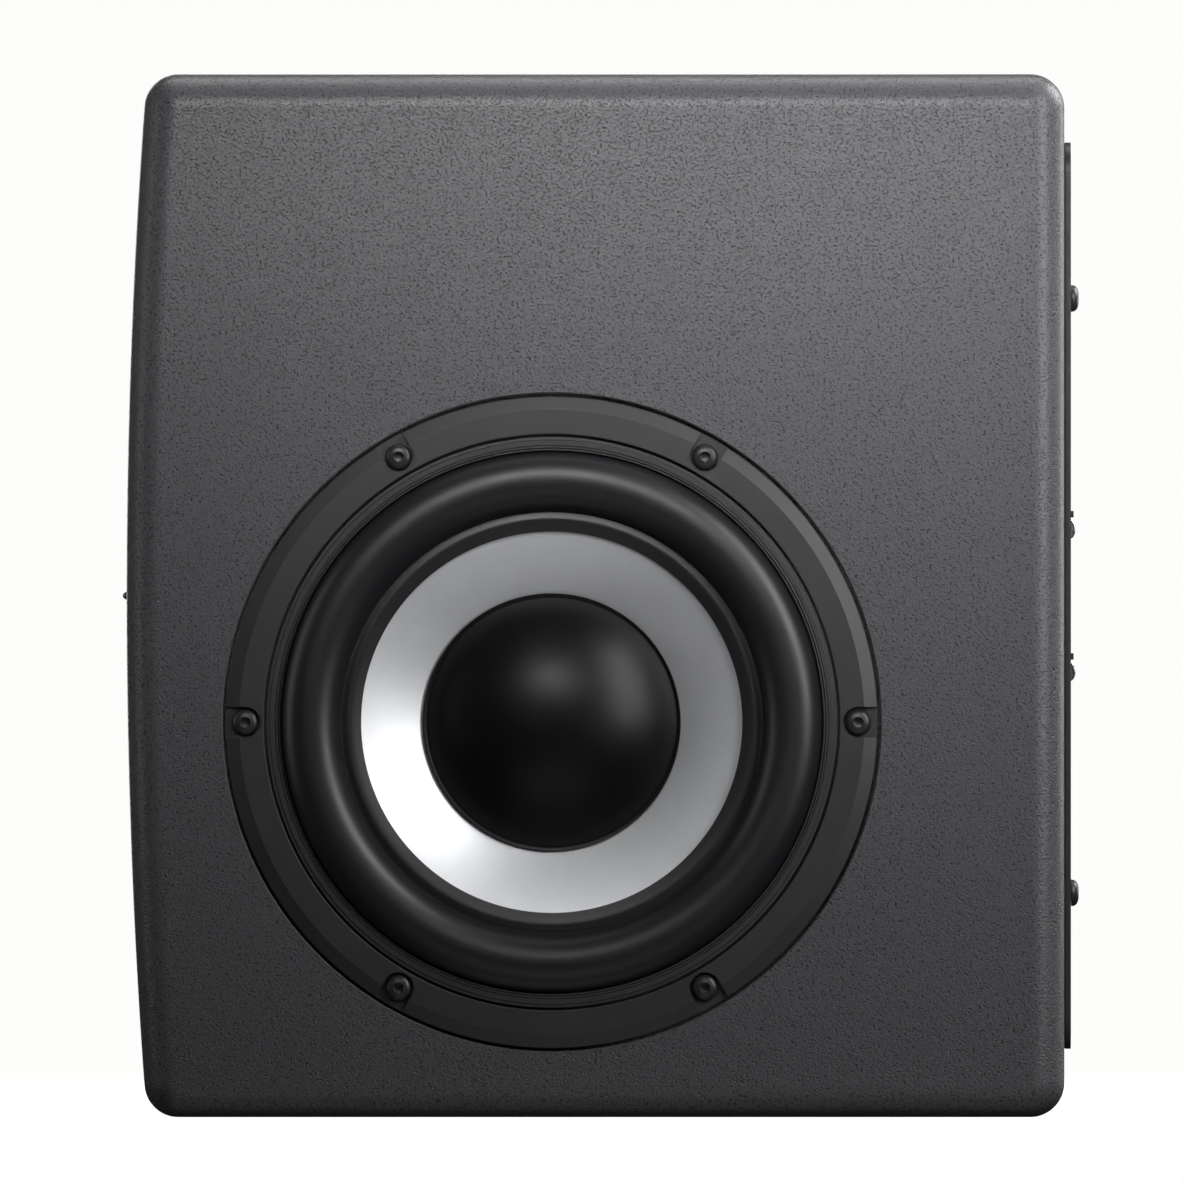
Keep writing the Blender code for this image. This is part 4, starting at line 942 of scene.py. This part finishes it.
def make_controls():
    """Two flush rotary controls with pointer slots, their printed ticks, and a round push button."""
    for node in ("level_knob", "crossover_knob"):
        at = middle_of(node)
        top, low = -0.3 * MM, -KNOB_DEPTH
        profile = rounded([(0, top, 0), (KNOB_R, top, 0.7 * MM), (KNOB_R, low, 0), (0, low, 0)], 6)
        groove = box_mesh((-POINTER_HALF, -KNOB_R - 1 * MM, -1.6 * MM), (POINTER_HALF, 0.5 * MM, 3 * MM))
        mesh = cut(turned_mesh(profile, 96), groove)
        mesh.transform(on_plate(at.x, at.z))
        piece(f"{node}_cap", smooth(mesh), PLASTIC, node, "socket_plastic", node)
        ticks = []
        for k in range(TICKS):
            turn = Matrix.Rotation(TICK_STEP * (k - TICKS // 2), 4, "Z")
            long = TICK_LONG if k in (0, TICKS // 2, TICKS - 1) else TICK_SHORT
            tick = box_mesh((-0.18 * MM, -TICK_R - long, 0.01 * MM), (0.18 * MM, -TICK_R, 0.05 * MM))
            ticks.append(moved(tick, on_plate(at.x, at.z) @ turn))
        piece(f"{node}_ticks", joined(ticks), INK, "cabinet", "plate_black")
    at = middle_of("phase_button")
    dish = [(BUTTON_R * 0.72 * i / 8, -0.35 * MM * (1 - (i / 8) ** 2)) for i in range(9)]
    foot = [(BUTTON_R, -BUTTON_DEPTH, 0), (0, -BUTTON_DEPTH, 0)]
    edge = rounded([(BUTTON_R, 0, 0.45 * MM)] + foot + [(0, 0, 0)], 5)[:-1]
    mesh = turned_mesh(dish + edge, 64)
    mesh.transform(on_plate(at.x, at.z))
    piece("phase_button_cap", smooth(mesh), PLASTIC, "phase_button", "socket_plastic", "phase_button")


# --- Status light and what stays inside -----------------------------------------------------------------
def make_status_light():
    """The small domed lens at mid height on the bowed front."""
    low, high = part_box("status_lens")
    radius, proud = (high.x - low.x) / 2, FRONT_Y - low.y
    dome = [(radius * sin(a), proud * cos(a)) for a in (pi / 2 * i / 16 for i in range(17))]
    depth = FRONT_Y - high.y
    mesh = turned_mesh(dome + [(radius, depth), (0, depth)], 64)
    mesh.transform(Matrix.Translation((MIDDLE_X, FRONT_Y, MIDDLE_Z)) @ FACING_FRONT)
    piece("light_dome", smooth(mesh), LENS, "cabinet", "lens", "status_lens")


def finish_the_inside():
    """What the closed cabinet hides keeps its CAD shape, with a finish of its own."""
    for node, finish in INSIDE.items():
        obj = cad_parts[node]
        obj.data.materials.clear()
        obj.data.materials.append(finish)


# --- Studio ---------------------------------------------------------------------------------------------
BACKDROP = (1.0, 1.0, 0.99, 1.0)
BACKDROP_LEVEL = 0.98
FLOOR_GLOW = 0.975
FLOOR_REACH = 30.0
CAMERA_DISTANCE = 15.5
VIEW_WIDTH = 340.1 * MM
VIEW_SHIFT_Y, VIEW_SHIFT_Z = -1.135 * MM, 1.2 * MM


def make_camera():
    """Square on to the driver's side, from so far away that nothing tapers."""
    data = bpy.data.cameras.new("camera")
    data.lens = data.sensor_width * CAMERA_DISTANCE / VIEW_WIDTH
    data.clip_end = 60
    camera = link(bpy.data.objects.new("camera", data))
    aim_y = (FRONT_Y + REAR_Y) / 2 + VIEW_SHIFT_Y
    camera.location = (RIGHT_X + CAMERA_DISTANCE, aim_y, MIDDLE_Z + VIEW_SHIFT_Z)
    camera.rotation_euler = (pi / 2, 0, pi / 2)
    bpy.context.scene.camera = camera


def softbox(name, position, aim, size, spread, power):
    """A rectangular lamp that points at its aim and is not seen itself."""
    data = bpy.data.lights.new(name, "AREA")
    data.shape = "RECTANGLE"
    data.size, data.size_y = size
    data.spread = radians(spread)
    data.energy = power
    lamp = link(bpy.data.objects.new(name, data))
    lamp.location = position
    lamp.rotation_euler = (Vector(aim) - Vector(position)).to_track_quat("-Z", "Y").to_euler()
    lamp.visible_camera = False


def make_world():
    """White behind the object, and a dim even light on it."""
    world = bpy.data.worlds.new("studio")
    bpy.context.scene.world = world
    world.use_nodes = True
    nodes, links = world.node_tree.nodes, world.node_tree.links
    ambient = nodes["Background"]
    ambient.inputs["Color"].default_value = (1.0, 1.0, 1.0, 1.0)
    ambient.inputs["Strength"].default_value = AMBIENT
    white = nodes.new("ShaderNodeBackground")
    white.inputs["Color"].default_value = BACKDROP
    white.inputs["Strength"].default_value = BACKDROP_LEVEL
    path = nodes.new("ShaderNodeLightPath")
    mix = nodes.new("ShaderNodeMixShader")
    links.new(path.outputs["Is Camera Ray"], mix.inputs["Fac"])
    links.new(ambient.outputs["Background"], mix.inputs[1])
    links.new(white.outputs["Background"], mix.inputs[2])
    links.new(mix.outputs["Shader"], nodes["World Output"].inputs["Surface"])


def make_floor():
    """A pale floor that glows, so that it stays about as white as the backdrop."""
    bm = bmesh.new()
    bmesh.ops.create_grid(bm, x_segments=8, y_segments=8, size=FLOOR_REACH)
    mesh = mesh_of(bm)
    made = Finish("pale_floor", emission_strength=FLOOR_GLOW)
    made.shader.inputs["Emission Color"].default_value = BACKDROP
    made.colored(made.noise(0.4), (0.28, 0.28, 0.28), (0.32, 0.32, 0.32))
    made.rough(made.noise(0.2), 0.8, 0.9)
    mesh.materials.append(made.material)
    floor = link(bpy.data.objects.new("floor", mesh))
    floor.visible_diffuse = False
    floor.visible_glossy = False


AMBIENT = 0.015
CENTRE = (0, 0, MIDDLE_Z)
FACE = (RIGHT_X, 0, MIDDLE_Z)
UPPER_FACE = (RIGHT_X, 0.04, 0.28)
UPPER_BACK = (0.10, 0.13, 0.26)
SOFTBOXES = (
    # name, place, aim, (width, height), spread in degrees, power
    ("right_front", (0.48, 0.43, 0.36), FACE, (0.2, 0.5), 180, 2.52),
    ("rear_edge", (-0.38, 0.59, 0.36), FACE, (0.2, 0.6), 180, 1.51),
    ("overhead_rear", (-0.04, 0, 0.73), FACE, (0.6, 0.2), 180, 1.39),
    ("right_rear", (-0.08, 0.54, 0.55), UPPER_BACK, (0.3, 0.4), 90, 0.93),
    ("left_side", (0.25, -0.78, 0.29), FACE, (0.3, 0.6), 180, 0.73),
    ("overhead", (0.12, 0, 0.75), FACE, (0.6, 0.3), 180, 0.57),
    ("below", (0.24, 0, -0.54), FACE, (0.6, 0.4), 180, 0.2),
    ("front_low", (0.81, 0, -0.43), FACE, (0.6, 0.4), 180, 0.32),
    ("front_top", (0.64, 0.02, 0.42), UPPER_FACE, (0.36, 0.16), 50, 0.24),
    ("left_rear", (-0.28, -0.68, 0.29), FACE, (0.3, 0.6), 180, 0.1),
    ("far_side", (-1.0, -0.2, 0.35), CENTRE, (0.6, 0.6), 180, 4.0),
)

make_camera()
make_cabinet()
make_basket()
make_trim()
make_surround()
make_cone()
make_cap()
make_suspension()
make_screws()
make_plate()
make_socket(1)
make_socket(2)
make_inlet()
make_switch()
make_controls()
make_status_light()
finish_the_inside()
make_world()
make_floor()
for lamp in SOFTBOXES:
    softbox(*lamp)
bpy.context.scene.view_settings.view_transform = "Standard"
